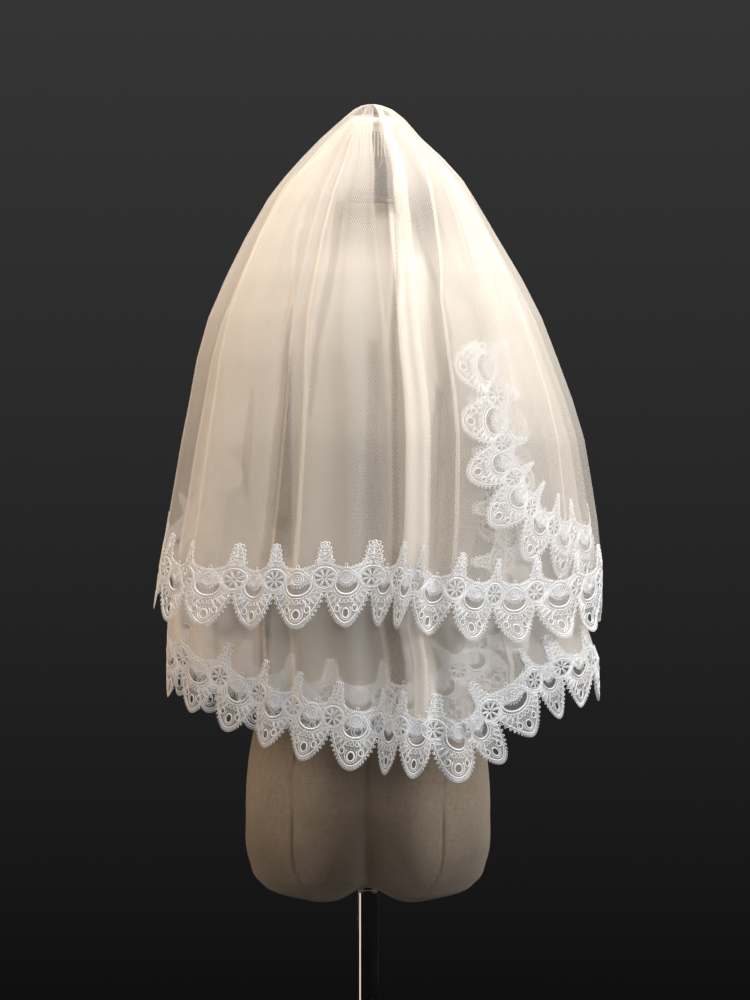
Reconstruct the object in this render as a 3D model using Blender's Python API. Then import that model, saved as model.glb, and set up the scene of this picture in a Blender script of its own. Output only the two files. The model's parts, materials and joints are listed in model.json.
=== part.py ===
# Two-tier bridal veil of soft tulle with a corded scalloped lace edging, gathered on a comb,
# on a limbless dress form with a chrome pole and a round base. Metres, +Z up, floor at z = 0.
# The back of the form and of the veil faces -Y. Drop is measured down from the veil's apex.
import math

import bmesh
import bpy
import numpy as np
from mathutils import Vector
from mathutils.geometry import delaunay_2d_cdt

# Sizes
APEX_Z = 1.629
SEAM = 0.0003
TULLE_WALL = 0.0010
LACE_WALL = 0.0012
LACE_DEPTH = 0.075
LACE_PITCH = 0.0625
LACE_SEAM = 0.0012
CORNER_RADIUS = 0.170
FOLD_MM = 0.001

FORM_BOTTOM_Z = 0.637
SADDLE_RISE = 0.021
SADDLE_WIDTH = 0.030
SEAT_RADIUS = 0.020
NECK_TOP_Z = 1.500
CAP_HEIGHT = 0.009
POST_RADIUS = 0.009
POST_Y = 0.011
PAD_TOP_Z = 1.594
POLE_RADIUS = 0.013
BASE_RADIUS = 0.175
BASE_TOP_Z = 0.040

BINDING_SLACK = 0.0003
COMB_TEETH = 12
COMB_WIDTH = 0.050
COMB_X = 0.006
COMB_Y = -0.0046
COMB_TOP_Z = 1.6025
COMB_WALL = 0.0016

# How far the smooth bell of the veil reaches, at each drop
# drop, left, right, back, front
BELL = [
    (0.003, 0.0090, 0.0190, 0.010, 0.009),
    (0.008, 0.0185, 0.0310, 0.021, 0.018),
    (0.020, 0.0325, 0.0460, 0.035, 0.030),
    (0.045, 0.0600, 0.0675, 0.055, 0.050),
    (0.070, 0.0840, 0.0950, 0.070, 0.065),
    (0.095, 0.1060, 0.1175, 0.085, 0.080),
    (0.120, 0.1250, 0.1325, 0.100, 0.095),
    (0.170, 0.1540, 0.1610, 0.122, 0.122),
    (0.220, 0.1790, 0.1900, 0.140, 0.145),
    (0.270, 0.2010, 0.2150, 0.153, 0.158),
    (0.320, 0.2150, 0.2340, 0.165, 0.170),
    (0.370, 0.2240, 0.2525, 0.175, 0.180),
    (0.420, 0.2340, 0.2675, 0.185, 0.187),
    (0.470, 0.2425, 0.2760, 0.192, 0.191),
    (0.520, 0.2510, 0.2840, 0.199, 0.194),
    (0.570, 0.2600, 0.2890, 0.205, 0.197),
    (0.640, 0.2700, 0.2885, 0.210, 0.199),
    (0.690, 0.2720, 0.3050, 0.211, 0.200),
    (0.900, 0.2720, 0.3080, 0.212, 0.200),
]

# Every fold runs from the comb to the hem. Angles are round the plan, 0 at the centre back
# and growing toward +X. A positive height is a ridge, a negative one is a trough.
# at the comb, at mid drop, at the hem, height mm, width on its left, width on its right
FOLDS = [
    (-150, -150, -150, 3.0, 6.0, 6.0),
    (-138, -138, -138, -4.0, 5.0, 5.0),
    (-126, -125, -124, 3.5, 5.0, 5.0),
    (-113, -112, -111, -3.5, 5.0, 4.0),
    (-103, -101, -100, 3.5, 4.5, 5.0),
    (-92, -89, -88, -3.5, 5.0, 5.0),
    (-78, -74, -73, 3.0, 5.0, 5.0),
    (-62, -56, -54, 4.0, 5.0, 5.0),
    (-36, -32, -34, -4.5, 2.6, 2.2),
    (-28.5, -27.6, -28.6, 3.0, 2.0, 1.8),
    (-23.5, -24.8, -24, -3.5, 1.8, 1.4),
    (-19, -21.5, -20.5, 3.5, 1.4, 6.0),
    (-9.5, -9.6, -7.5, 3.5, 3.5, 3.0),
    (-0.6, -0.4, -2.0, -4.0, 3.0, 3.0),
    (10, 8.0, 5.5, 6.5, 1.7, 2.4),
    (20, 12.7, 10.5, 4.5, 2.0, 1.5),
    (30, 19.5, 14, -5.0, 1.7, 2.0),
    (42, 24, 18.2, 3.5, 2.0, 3.6),
    (56, 36, 29, -2.5, 4.0, 4.0),
    (68, 46, 38, 3.5, 4.0, 4.5),
    (78, 61, 55, 2.5, 5.0, 5.0),
    (88, 73, 68, -3.5, 5.0, 4.5),
    (97, 85, 81, 3.5, 5.0, 5.0),
    (106, 97, 94, -4.0, 5.0, 5.0),
    (115, 108, 106, 3.0, 5.0, 5.0),
    (126, 122, 120, -3.5, 5.0, 5.0),
    (138, 136, 135, 3.5, 6.0, 6.0),
    (152, 151, 150, -3.0, 6.0, 6.0),
]

# The way across each tier, from its left front edge to its last edge. Where the angle turns
# back, the cloth is folded under itself and lies further in.
# angle, distance inside the bell in mm, drop of the scallop tips there
UPPER_WAY = [
    (-136, 0, 0.600),
    (-118, 0, 0.605),
    (-90, 0, 0.622),
    (-60, 0, 0.645),
    (-30, 0, 0.648),
    (0, 0, 0.641),
    (15, 0, 0.655),
    (30, 0, 0.665),
    (60, 0, 0.659),
    (90, 0, 0.645),
    (116, 0, 0.622),
    (118.5, 1.5, 0.620),
    (119.5, 5, 0.618),
    (118.5, 8.5, 0.616),
    (116, 10, 0.614),
    (90, 10, 0.600),
    (60, 10, 0.590),
    (42, 10, 0.587),
    (20, 10, 0.583),
]
LOWER_WAY = [
    (150, 20, 0.690),
    (134, 20, 0.700),
    (120, 20, 0.715),
    (90, 20, 0.742),
    (60, 20, 0.747),
    (45, 20, 0.766),
    (38, 20, 0.784),
    (31, 20, 0.812),
    (23, 20, 0.831),
    (15, 20, 0.826),
    (-4, 20, 0.816),
    (-15, 20, 0.808),
    (-28, 20, 0.793),
    (-40, 20, 0.776),
    (-60, 20, 0.748),
    (-90, 20, 0.726),
    (-122, 20, 0.702),
    (-124.5, 21.5, 0.700),
    (-125.5, 25, 0.699),
    (-124.5, 28.5, 0.698),
    (-122, 30, 0.698),
    (-90, 30, 0.720),
    (-60, 30, 0.742),
    (-24, 30, 0.782),
    (3, 30, 0.786),
    (50, 30, 0.744),
]
LACE_FROM_DROP = 0.300
SHEET_ROWS = (0, 0.025, 0.06, 0.11, 0.18, 0.28, 0.42, 0.60, 0.80, 1.0)

# One repeat of the lace: x along it as a share of the pitch, depth in from the scallop tips
# bottom edge, from one hollow to the next
SCALLOP = [(0.00, 0.038), (0.10, 0.026), (0.27, 0.009), (0.50, 0.000), (0.73, 0.009), (0.90, 0.026)]
HALF_MOON = [(0.35, 0.049), (0.40, 0.041), (0.50, 0.0375), (0.60, 0.041), (0.65, 0.049)]
EYELET = [(0.50, 0.0270), (0.43, 0.0150), (0.50, 0.0085), (0.57, 0.0150)]
TOP_STEPS = (0.0, 0.25, 0.5, 0.75)
# repeats that stand in a pleat, and the share of their width that shows
UPPER_SQUEEZE = ((13, 14), 0.62)
LOWER_SQUEEZE = ((13, 14, 15, 16), 0.70)

# The dress form, ring by ring
# z, half width, back, front
FORM = [
    (0.6370, 0.0780, 0.060, 0.050),
    (0.6450, 0.1120, 0.083, 0.070),
    (0.6600, 0.1360, 0.099, 0.083),
    (0.6850, 0.1480, 0.110, 0.091),
    (0.7450, 0.1525, 0.117, 0.097),
    (0.8150, 0.1485, 0.112, 0.097),
    (0.8850, 0.1340, 0.101, 0.094),
    (0.9450, 0.1240, 0.088, 0.088),
    (1.0000, 0.1210, 0.079, 0.085),
    (1.0600, 0.1290, 0.080, 0.092),
    (1.1200, 0.1420, 0.087, 0.110),
    (1.1750, 0.1520, 0.094, 0.122),
    (1.2300, 0.1560, 0.098, 0.112),
    (1.2800, 0.1610, 0.096, 0.090),
    (1.3200, 0.1670, 0.088, 0.074),
    (1.3450, 0.1610, 0.081, 0.067),
    (1.3720, 0.1360, 0.074, 0.062),
    (1.4020, 0.0920, 0.064, 0.056),
    (1.4350, 0.0590, 0.056, 0.049),
    (1.4700, 0.0510, 0.051, 0.046),
    (1.5000, 0.0500, 0.050, 0.045),
]
FORM_SIDES = 32


def clear_scene():
    for old in list(bpy.data.objects):
        bpy.data.objects.remove(old, do_unlink=True)


def paint(name, colour, roughness, metallic=0.0):
    """A plain Principled material."""
    made = bpy.data.materials.new(name)
    made.use_nodes = True
    shader = made.node_tree.nodes["Principled BSDF"]
    shader.inputs["Base Color"].default_value = (*colour, 1.0)
    shader.inputs["Roughness"].default_value = roughness
    shader.inputs["Metallic"].default_value = metallic
    return made


def add_part(name, points, faces, material, smooth=True):
    """One closed mesh, with its faces turned outward."""
    mesh = bpy.data.meshes.new(name)
    mesh.from_pydata([tuple(map(float, p)) for p in points], [], [tuple(map(int, f)) for f in faces])
    mesh.validate()
    work = bmesh.new()
    work.from_mesh(mesh)
    bmesh.ops.recalc_face_normals(work, faces=work.faces)
    if work.calc_volume(signed=True) < 0:
        bmesh.ops.reverse_faces(work, faces=work.faces)
    bmesh.ops.triangulate(work, faces=work.faces)
    work.to_mesh(mesh)
    work.free()
    mesh.materials.append(material)
    for face in mesh.polygons:
        face.use_smooth = smooth
    made = bpy.data.objects.new(name, mesh)
    bpy.data.collections["bridal_veil_on_dress_form"].objects.link(made)
    return made


def bell_sizes(drop):
    """Left, right, back and front reach of the smooth bell at each drop."""
    table = np.array(BELL)
    return [np.interp(drop, table[:, 0], table[:, k]) for k in range(1, 5)]


def turned_angle(hem_angle, drop):
    """The plan angle, at a drop, of the strand of cloth that reaches the hem at hem_angle."""
    folds = np.array(FOLDS, float)
    ends = np.array([[-180.0] * 3, [180.0] * 3])
    knots = np.vstack([ends[:1], folds[:, :3], ends[1:]])
    top, middle, hem = (np.interp(hem_angle, knots[:, 2], knots[:, k]) for k in range(3))
    low = np.clip((drop - 0.255) / (0.60 - 0.255), 0, 1)
    high = np.clip((drop - 0.04) / (0.255 - 0.04), 0, 1)
    return np.where(drop < 0.255, top + (middle - top) * high, middle + (hem - middle) * low)


def bell_point(hem_angle, drop):
    """A point of the smooth bell."""
    left, right, back, front = bell_sizes(drop)
    angle = np.radians(turned_angle(hem_angle, drop))
    half, shift = (left + right) / 2, (right - left) / 2
    depth = np.where(np.cos(angle) > 0, back, front)
    return np.stack([shift + half * np.sin(angle), -depth * np.cos(angle), APEX_Z - drop], axis=-1)


def bell_normal(hem_angle, drop):
    """The outward normal of the smooth bell."""
    across = bell_point(hem_angle + 0.8, drop) - bell_point(hem_angle - 0.8, drop)
    down = bell_point(hem_angle, drop + 0.004) - bell_point(hem_angle, drop - 0.001)
    normal = np.cross(down, across)
    return normal / np.linalg.norm(normal, axis=-1, keepdims=True)


def fold_height(hem_angle, drop):
    """How far the folds stand out of the bell."""
    total = np.zeros(np.broadcast(hem_angle, drop).shape)
    for comb, middle, hem, height, left, right in FOLDS:
        away = hem_angle - hem
        wide = np.where(away < 0, left, right)
        total = total + height * FOLD_MM * np.exp(-((away / wide) ** 2))
    growth = np.interp(drop, (0.004, 0.05, 0.12, 0.25, 0.45), (0.05, 0.22, 0.5, 0.8, 1.0))
    return total * growth


class Tier:
    """One tier of tulle, laid out flat: c runs along its hem in metres, d is its drop."""

    def __init__(self, way, top_drop):
        table = np.array(way, float)
        table[:, 1] *= 0.001
        steps = [np.linspace(0, 1, 24, endpoint=False) + k for k in range(len(table) - 1)]
        at = np.append(np.concatenate(steps), len(table) - 1.0)
        rows = np.arange(len(table))
        self.angle, self.inside, tips = (np.interp(at, rows, table[:, k]) for k in range(3))
        line = self.place(self.angle, self.inside, np.full(at.shape, 0.60))
        run = np.append(0, np.cumsum(np.linalg.norm(np.diff(line, axis=0), axis=1)))
        self.c = run
        even = np.linspace(0, run[-1], 1200)
        reach = 30
        padded = np.pad(np.interp(even, run, tips), reach, mode="edge")
        kernel = np.hanning(2 * reach + 1)
        smooth = np.convolve(padded, kernel / kernel.sum(), mode="valid")
        self.even, self.tips = even, smooth
        self.length = run[-1]
        self.top_drop = top_drop
        # the furthest point, where the cloth turns under
        ahead = np.diff(self.angle)
        turn = np.where(np.sign(ahead) != np.sign(ahead[0]))[0][0]
        self.fold_c = run[turn]
        self.edge = self.edge_line()

    def place(self, angle, inside, drop):
        """The middle of the cloth, from the bell, its folds and the layer's distance inside."""
        closeness = np.interp(drop, (0.004, 0.05, 0.14, 0.25, 0.5), (0.24, 0.36, 0.65, 0.85, 1.0))
        out = fold_height(angle, drop) - inside * closeness
        return bell_point(angle, drop) + bell_normal(angle, drop) * out[..., None]

    def at(self, c, d):
        """Points of the middle of the cloth."""
        angle = np.interp(c, self.c, self.angle)
        inside = np.interp(c, self.c, self.inside)
        return self.place(angle, inside, np.asarray(d, float) + 0 * angle)

    def outward(self, c, d):
        """The cloth's own normal, pointing to its outer face."""
        c, d = np.broadcast_arrays(np.asarray(c, float), np.asarray(d, float))
        step = 0.0015
        across = self.at(np.minimum(c + step, self.length), d) - self.at(np.maximum(c - step, 0), d)
        down = self.at(c, d + 0.002) - self.at(c, d - 0.0005)
        normal = np.cross(down, across)
        flip = -1.0 if self.angle[1] < self.angle[0] else 1.0
        return flip * normal / np.linalg.norm(normal, axis=-1, keepdims=True)

    def tip_drop(self, c):
        return np.interp(c, self.even, self.tips)

    def edge_line(self):
        """The line of the scallop tips: down one front edge, round its corner, along the hem,
        round the other corner and up the last edge, as even steps with inward normals."""
        r = CORNER_RADIUS
        turn = np.radians(np.linspace(0, 90, 40))
        side = LACE_FROM_DROP + np.linspace(0, 1, 60) * (self.tip_drop(r * 0.3) - r - LACE_FROM_DROP)
        first = np.column_stack([np.zeros(60), side])
        arc = np.column_stack([r - r * np.cos(turn), self.tip_drop(r - r * np.cos(turn)) - r + r * np.sin(turn)])
        along = np.linspace(r, self.length - r, 900)[1:-1]
        hem = np.column_stack([along, self.tip_drop(along)])
        end = self.length - r + r * np.sin(turn)
        arc_2 = np.column_stack([end, self.tip_drop(end) - r + r * np.cos(turn)])
        side_2 = LACE_FROM_DROP + np.linspace(1, 0, 60) * (arc_2[-1, 1] - LACE_FROM_DROP)
        last = np.column_stack([np.full(60, self.length), side_2])
        line = np.vstack([first[:-1], arc, hem, arc_2, last[1:]])
        run = np.append(0, np.cumsum(np.linalg.norm(np.diff(line, axis=0), axis=1)))
        even = np.linspace(0, run[-1], 1600)
        line = np.column_stack([np.interp(even, run, line[:, k]) for k in range(2)])
        way = np.gradient(line, axis=0)
        kernel = np.hanning(31)
        kernel /= kernel.sum()
        way = np.column_stack([np.convolve(np.pad(way[:, k], 15, mode="edge"), kernel, "valid") for k in range(2)])
        way /= np.linalg.norm(way, axis=1, keepdims=True)
        inward = np.column_stack([way[:, 1], -way[:, 0]])
        return {"run": even, "line": line, "inward": inward, "length": run[-1]}

    def on_edge(self, run, depth):
        """Flat position of a lace point: run along the tips' line and depth in from it."""
        e = self.edge
        base = np.column_stack([np.interp(run, e["run"], e["line"][:, k]) for k in range(2)])
        normal = np.column_stack([np.interp(run, e["run"], e["inward"][:, k]) for k in range(2)])
        normal /= np.linalg.norm(normal, axis=1, keepdims=True)
        return base + normal * np.asarray(depth)[:, None]


def solid_of(tier, flat, triangles, wall, name, material):
    """A wall of even thickness over a flat mesh laid on the tier."""
    middle = tier.at(flat[:, 0], flat[:, 1])
    normal = tier.outward(flat[:, 0], flat[:, 1])
    points = np.vstack([middle + normal * wall / 2, middle - normal * wall / 2])
    count = len(flat)
    faces = [tuple(t) for t in triangles] + [tuple(np.array(t[::-1]) + count) for t in triangles]
    used = {}
    for t in triangles:
        for a, b in zip(t, (*t[1:], t[0])):
            used[(a, b)] = True
    for a, b in used:
        if (b, a) not in used:
            faces.append((b, a, a + count, b + count))
    return add_part(name, points, faces, material)


def sheet_columns(tier, start, stop, fill):
    """Column positions: fold crests, the feet of the narrow ones, and a fill between them."""
    wanted = {start, stop}
    for comb, middle, hem, height, left, right in FOLDS:
        feet = (hem - 1.5 * left, hem + 1.5 * right) if min(left, right) < 2 else ()
        for angle in (hem, *feet):
            over = np.where(np.diff(np.sign(tier.angle - angle)) != 0)[0]
            for k in over:
                if start + 0.006 < tier.c[k] < stop - 0.006:
                    wanted.add(float(tier.c[k]))
    kept = []
    for c in sorted(wanted):
        if kept and c - kept[-1] < 0.006 and c != stop:
            continue
        if kept and c == stop and c - kept[-1] < 0.006:
            kept.pop()
        kept.append(c)
    filled = [kept[0]]
    for c in kept[1:]:
        parts = max(1, math.ceil((c - filled[-1]) / fill))
        begin = filled[-1]
        filled += [begin + (c - begin) * (k + 1) / parts for k in range(parts)]
    return np.array(filled)


def tulle_sheet(tier, start, stop, fill, name, material):
    """A stretch of a tier's tulle, from the comb to the seam with its lace."""
    columns = sheet_columns(tier, start, stop, fill)
    e = tier.edge
    seam = tier.on_edge(e["run"], np.full(len(e["run"]), LACE_DEPTH + LACE_SEAM))
    order = np.argsort(seam[:, 0], kind="stable")
    in_hem = seam[order]
    keep = in_hem[:, 1] > LACE_FROM_DROP + 0.06
    bottom = np.interp(columns, in_hem[keep, 0], in_hem[keep, 1])
    share = np.array(SHEET_ROWS)
    drops = tier.top_drop + (bottom[:, None] - tier.top_drop) * share[None, :]
    flat = np.column_stack([np.repeat(columns, len(share)), drops.ravel()])
    rows = len(share)
    triangles = []
    for i in range(len(columns) - 1):
        for j in range(rows - 1):
            a = i * rows + j
            triangles += [(a, a + rows, a + rows + 1), (a, a + rows + 1, a + 1)]
    return solid_of(tier, flat, triangles, TULLE_WALL, name, material)


def lace_run(tier, hollows, name, material):
    """A run of lace repeats, one between each pair of hollows, with their gaps cut through."""
    wide = np.diff(hollows)
    count = len(wide)

    def across(k, x):
        return float(hollows[k] + x * wide[k])

    bottom = [(across(k, x), v) for k in range(count) for x, v in SCALLOP]
    bottom.append((float(hollows[-1]), SCALLOP[0][1]))
    top = [(across(k, x), LACE_DEPTH) for k in range(count) for x in TOP_STEPS]
    top.append((float(hollows[-1]), LACE_DEPTH))
    outline = bottom + top[::-1]
    holes = [[(across(k, x), v) for x, v in hole] for k in range(count) for hole in (HALF_MOON, EYELET)]
    points = [Vector(p) for p in outline]
    edges = [(i, (i + 1) % len(outline)) for i in range(len(outline))]
    for hole in holes:
        begin = len(points)
        points += [Vector(p) for p in hole]
        edges += [(begin + i, begin + (i + 1) % len(hole)) for i in range(len(hole))]
    verts, _, faces, *_ = delaunay_2d_cdt(points, edges, [], 1, 1e-7)
    spots = np.array([tuple(v) for v in verts])

    def in_hole(x, v):
        for hole in holes:
            inside = False
            for (x0, v0), (x1, v1) in zip(hole, hole[1:] + hole[:1]):
                if (v0 > v) != (v1 > v) and x < x0 + (x1 - x0) * (v - v0) / (v1 - v0):
                    inside = not inside
            if inside:
                return True
        return False

    triangles = []
    for face in faces:
        x, v = spots[list(face)].mean(axis=0)
        if not in_hole(x, v):
            triangles.append(tuple(face))
    run = spots[:, 0]
    run = np.where(spots[:, 0] < hollows[0] + 1e-7, run + SEAM * 0.6, run)
    run = np.where(spots[:, 0] > hollows[-1] - 1e-7, run - SEAM * 0.6, run)
    flat = tier.on_edge(run, spots[:, 1])
    return solid_of(tier, flat, triangles, LACE_WALL, name, material)


def fold_run(tier):
    """How far along the scallop tips' line the cloth turns under."""
    line = tier.edge["line"]
    low = line[:, 1] > tier.tip_drop(tier.fold_c) - 0.05
    nearest = np.argmin(np.where(low, abs(line[:, 0] - tier.fold_c), 9.0))
    return float(tier.edge["run"][nearest])


def lace_hollows(tier, squeezed, share):
    """Where the hollows between scallops lie along the edge. The squeezed repeats stand where
    the cloth is pleated, so less of each shows."""
    total = round(tier.edge["length"] / LACE_PITCH)
    pitch = tier.edge["length"] / total
    wide = np.full(total, pitch)
    wide[list(squeezed)] *= share
    hollows = np.append(0, np.cumsum(wide))
    # one hollow stands on the line where the cloth turns under
    fold = fold_run(tier)
    near = int(np.argmin(abs(hollows - fold)))
    hollows[:near + 1] *= fold / hollows[near]
    hollows[near + 1:] = fold + np.cumsum(wide[near:])
    return hollows[hollows < tier.edge["length"] + 1e-9]


def lace_runs(tier, names, ends, hollows, material):
    """Lace round a tier's free edges, parted at whole repeats."""
    cuts = [int(np.argmin(abs(hollows - end))) for end in ends]
    for name, begin, end in zip(names, cuts, cuts[1:]):
        lace_run(tier, hollows[begin:end + 1], name, material)
    print("lace", names[0], "repeats", len(hollows) - 1)


def turned_solid(name, profile, material, centre=(0.0, 0.0), sides=32):
    """A solid turned round a vertical axis, from (radius, z) pairs top to bottom."""
    points, faces = [], []
    for radius, z in profile:
        if radius == 0:
            points.append((centre[0], centre[1], z))
            continue
        for k in range(sides):
            a = 2 * math.pi * k / sides
            points.append((centre[0] + radius * math.cos(a), centre[1] + radius * math.sin(a), z))
    starts, count = [], 0
    for radius, z in profile:
        starts.append(count)
        count += 1 if radius == 0 else sides
    for k, (upper, lower) in enumerate(zip(profile, profile[1:])):
        a, b = starts[k], starts[k + 1]
        for i in range(sides):
            j = (i + 1) % sides
            if upper[0] == 0:
                faces.append((a, b + i, b + j))
            elif lower[0] == 0:
                faces.append((a + i, b, a + j))
            else:
                faces.append((a + i, b + i, b + j, a + j))
    return add_part(name, points, faces, material)


def dress_form(material):
    """The limbless form: rounded rings from the two-lobed underside to the neck."""
    points, faces = [], []
    for z, half, back, front in FORM:
        for k in range(FORM_SIDES):
            a = 2 * math.pi * k / FORM_SIDES
            c, s = math.cos(a), math.sin(a)
            x = half * math.copysign(abs(s) ** 0.88, s)
            y = (-back if c > 0 else front) * abs(c) ** 0.92
            low = max(0.0, 1 - (z - FORM_BOTTOM_Z) / 0.030)
            rise = SADDLE_RISE * low * math.exp(-((x / SADDLE_WIDTH) ** 2))
            points.append((x, y, z + rise))
    rings = len(FORM)
    for r in range(rings - 1):
        for k in range(FORM_SIDES):
            n = (k + 1) % FORM_SIDES
            a, b = r * FORM_SIDES, (r + 1) * FORM_SIDES
            faces.append((a + k, a + n, b + n, b + k))
    # the underside, level along Y and dipping up to a flat seat for the collar
    inner, seat = [], []
    for k in range(FORM_SIDES):
        x, y, _ = points[k]
        inner.append(len(points))
        x, y = x * 0.6, y * 0.6
        points.append((x, y, FORM_BOTTOM_Z + SADDLE_RISE * math.exp(-((x / SADDLE_WIDTH) ** 2))))
    for k in range(FORM_SIDES):
        a = 2 * math.pi * k / FORM_SIDES
        seat.append(len(points))
        points.append((SEAT_RADIUS * math.sin(a), -SEAT_RADIUS * math.cos(a), FORM_BOTTOM_Z + SADDLE_RISE))
    middle = len(points)
    points.append((0.0, 0.0, FORM_BOTTOM_Z + SADDLE_RISE))
    for k in range(FORM_SIDES):
        n = (k + 1) % FORM_SIDES
        faces.append((k, inner[k], inner[n], n))
        faces.append((inner[k], seat[k], seat[n], inner[n]))
        faces.append((seat[k], middle, seat[n]))
    top = len(points)
    points.append((0.0, 0.0, NECK_TOP_Z))
    last = (rings - 1) * FORM_SIDES
    for k in range(FORM_SIDES):
        faces.append((last + k, last + (k + 1) % FORM_SIDES, top))
    return add_part("form_body", points, faces, material)


def comb(material):
    """A plain comb: a bar with teeth cut from one outline, standing behind the post's pad."""
    left = COMB_X - COMB_WIDTH / 2
    step = COMB_WIDTH / (2 * COMB_TEETH - 1)
    z_bar, z_tip = COMB_TOP_Z - 0.008, COMB_TOP_Z - 0.040
    outline = [(left, COMB_TOP_Z), (left + COMB_WIDTH, COMB_TOP_Z)]
    for k in reversed(range(COMB_TEETH)):
        x0, x1 = left + 2 * k * step, left + (2 * k + 1) * step
        outline += [(x1, z_bar), (x1 - step * 0.25, z_tip), (x0 + step * 0.25, z_tip), (x0, z_bar)]
    # the bar's lower corners at both ends meet the end teeth, so no point is doubled
    count = len(outline)
    points = [(x, COMB_Y - COMB_WALL / 2, z) for x, z in outline]
    points += [(x, COMB_Y + COMB_WALL / 2, z) for x, z in outline]
    flat = [Vector((x, z)) for x, z in outline]
    edges = [(i, (i + 1) % count) for i in range(count)]
    _, _, triangles, *_ = delaunay_2d_cdt(flat, edges, [], 1, 1e-7)
    faces = [tuple(t) for t in triangles] + [tuple(i + count for i in reversed(t)) for t in triangles]
    faces += [(a, b, b + count, a + count) for a, b in edges]
    return add_part("comb", points, faces, material, smooth=False)


def gathering(innermost, drops, material, sides=28):
    """The oval binding that the gathered tulle is sewn round, just inside the innermost layer."""
    angles = np.linspace(-180, 180, sides, endpoint=False)
    points, faces = [], []
    for drop in drops:
        level = np.full(sides, drop)
        ring = innermost.place(angles, np.full(sides, innermost.inside.max()), level)
        clear = TULLE_WALL / 2 + SEAM + BINDING_SLACK + (drop - drops[0]) * 0.4
        away = bell_normal(angles, level) * clear
        inner = ring - away
        if drop == drops[-1]:
            inner[:, 2] = COMB_TOP_Z + SEAM
        points += [tuple(p) for p in inner]
    rings = len(drops)
    for r in range(rings - 1):
        for k in range(sides):
            n = (k + 1) % sides
            a, b = r * sides, (r + 1) * sides
            faces.append((a + k, b + k, b + n, a + n))
    for r in (0, rings - 1):
        ring = np.array(points[r * sides:(r + 1) * sides])
        middle = len(points)
        points.append(tuple(ring.mean(axis=0)))
        for k in range(sides):
            faces.append((r * sides + k, r * sides + (k + 1) % sides, middle))
    low = min(p[2] for p in points)
    print("binding from", round(low, 4), "to", round(max(p[2] for p in points), 4))
    return add_part("gathering_binding", points, faces, material)


clear_scene()
bpy.context.scene.collection.children.link(bpy.data.collections.new("bridal_veil_on_dress_form"))

tulle = paint("tulle", (0.86, 0.80, 0.72), 0.9)
lace = paint("corded_lace", (0.92, 0.91, 0.90), 0.8)
satin = paint("satin_binding", (0.88, 0.83, 0.77), 0.5)
clear_plastic = paint("comb_plastic", (0.78, 0.75, 0.70), 0.3)
linen = paint("linen_cover", (0.38, 0.31, 0.24), 0.95)
dark_wood = paint("dark_cap", (0.10, 0.08, 0.09), 0.5)
chrome = paint("chrome", (0.75, 0.75, 0.76), 0.15, 1.0)
base_paint = paint("base_enamel", (0.05, 0.05, 0.05), 0.4)

# The veil
upper = Tier(UPPER_WAY, 0.0035)
lower = Tier(LOWER_WAY, 0.0120)
margin = LACE_DEPTH + LACE_SEAM
for tier, word, squeezed, squeeze in ((upper, "upper", *UPPER_SQUEEZE), (lower, "lower", *LOWER_SQUEEZE)):
    fold_at = tier.fold_c
    tulle_sheet(tier, margin, fold_at - SEAM, 0.040, word + "_tulle", tulle)
    tulle_sheet(tier, fold_at + SEAM, tier.length - margin, 0.046, word + "_tulle_turned", tulle)
    corner = (tier.tip_drop(0) - LACE_FROM_DROP) + 0.2
    turn = fold_run(tier)
    names = [word + "_lace_" + w for w in ("front", "back_one", "back_two", "turned")]
    hollows = lace_hollows(tier, squeezed, squeeze)
    lace_runs(tier, names, (0, corner, (corner + turn) / 2, turn, hollows[-1]), hollows, lace)

# What gathers and holds it
comb(clear_plastic)
gathering(lower, (0.0125, 0.0142, 0.0160), satin)

# The dress form and its stand
dress_form(linen)
cap_low = NECK_TOP_Z + SEAM
turned_solid(
    "neck_cap",
    [
        (0, cap_low + CAP_HEIGHT),
        (0.043, cap_low + CAP_HEIGHT),
        (0.048, cap_low + CAP_HEIGHT - 0.003),
        (0.048, cap_low + 0.002),
        (0.046, cap_low),
        (0, cap_low),
    ],
    dark_wood,
)
post_low = cap_low + CAP_HEIGHT + SEAM
turned_solid(
    "veil_post",
    [
        (0, PAD_TOP_Z),
        (0.009, PAD_TOP_Z - 0.002),
        (0.0135, PAD_TOP_Z - 0.010),
        (0.0145, PAD_TOP_Z - 0.022),
        (0.0125, PAD_TOP_Z - 0.034),
        (POST_RADIUS, PAD_TOP_Z - 0.044),
        (POST_RADIUS, post_low + 0.006),
        (0.014, post_low + 0.003),
        (0.014, post_low),
        (0, post_low),
    ],
    dark_wood,
    centre=(COMB_X, POST_Y),
    sides=20,
)
collar_top = FORM_BOTTOM_Z + SADDLE_RISE - SEAM
turned_solid(
    "pole_collar",
    [(0, collar_top), (0.017, collar_top), (0.017, collar_top - 0.010), (0, collar_top - 0.010)],
    chrome,
    sides=24,
)
turned_solid(
    "pole",
    [
        (0, collar_top - 0.010 - SEAM),
        (POLE_RADIUS, collar_top - 0.010 - SEAM),
        (POLE_RADIUS, BASE_TOP_Z + SEAM),
        (0, BASE_TOP_Z + SEAM),
    ],
    chrome,
    sides=24,
)
turned_solid(
    "base",
    [
        (0, BASE_TOP_Z),
        (0.019, BASE_TOP_Z),
        (0.024, BASE_TOP_Z - 0.004),
        (0.027, 0.024),
        (0.045, 0.018),
        (0.165, 0.011),
        (BASE_RADIUS, 0.006),
        (BASE_RADIUS, 0),
        (0, 0),
    ],
    base_paint,
    sides=40,
)
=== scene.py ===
# %% [markdown]
# # A two-tier bridal veil on a dress form
# The lesson dresses a CAD frame with cloth, lace and finishes. The frame comes first: it holds
# every solid in metres, with +Z up and the floor at zero, and nothing in it is moved. The back
# of the form and of the veil faces -Y, toward the camera.

# %% Load the frame
import json

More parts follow.
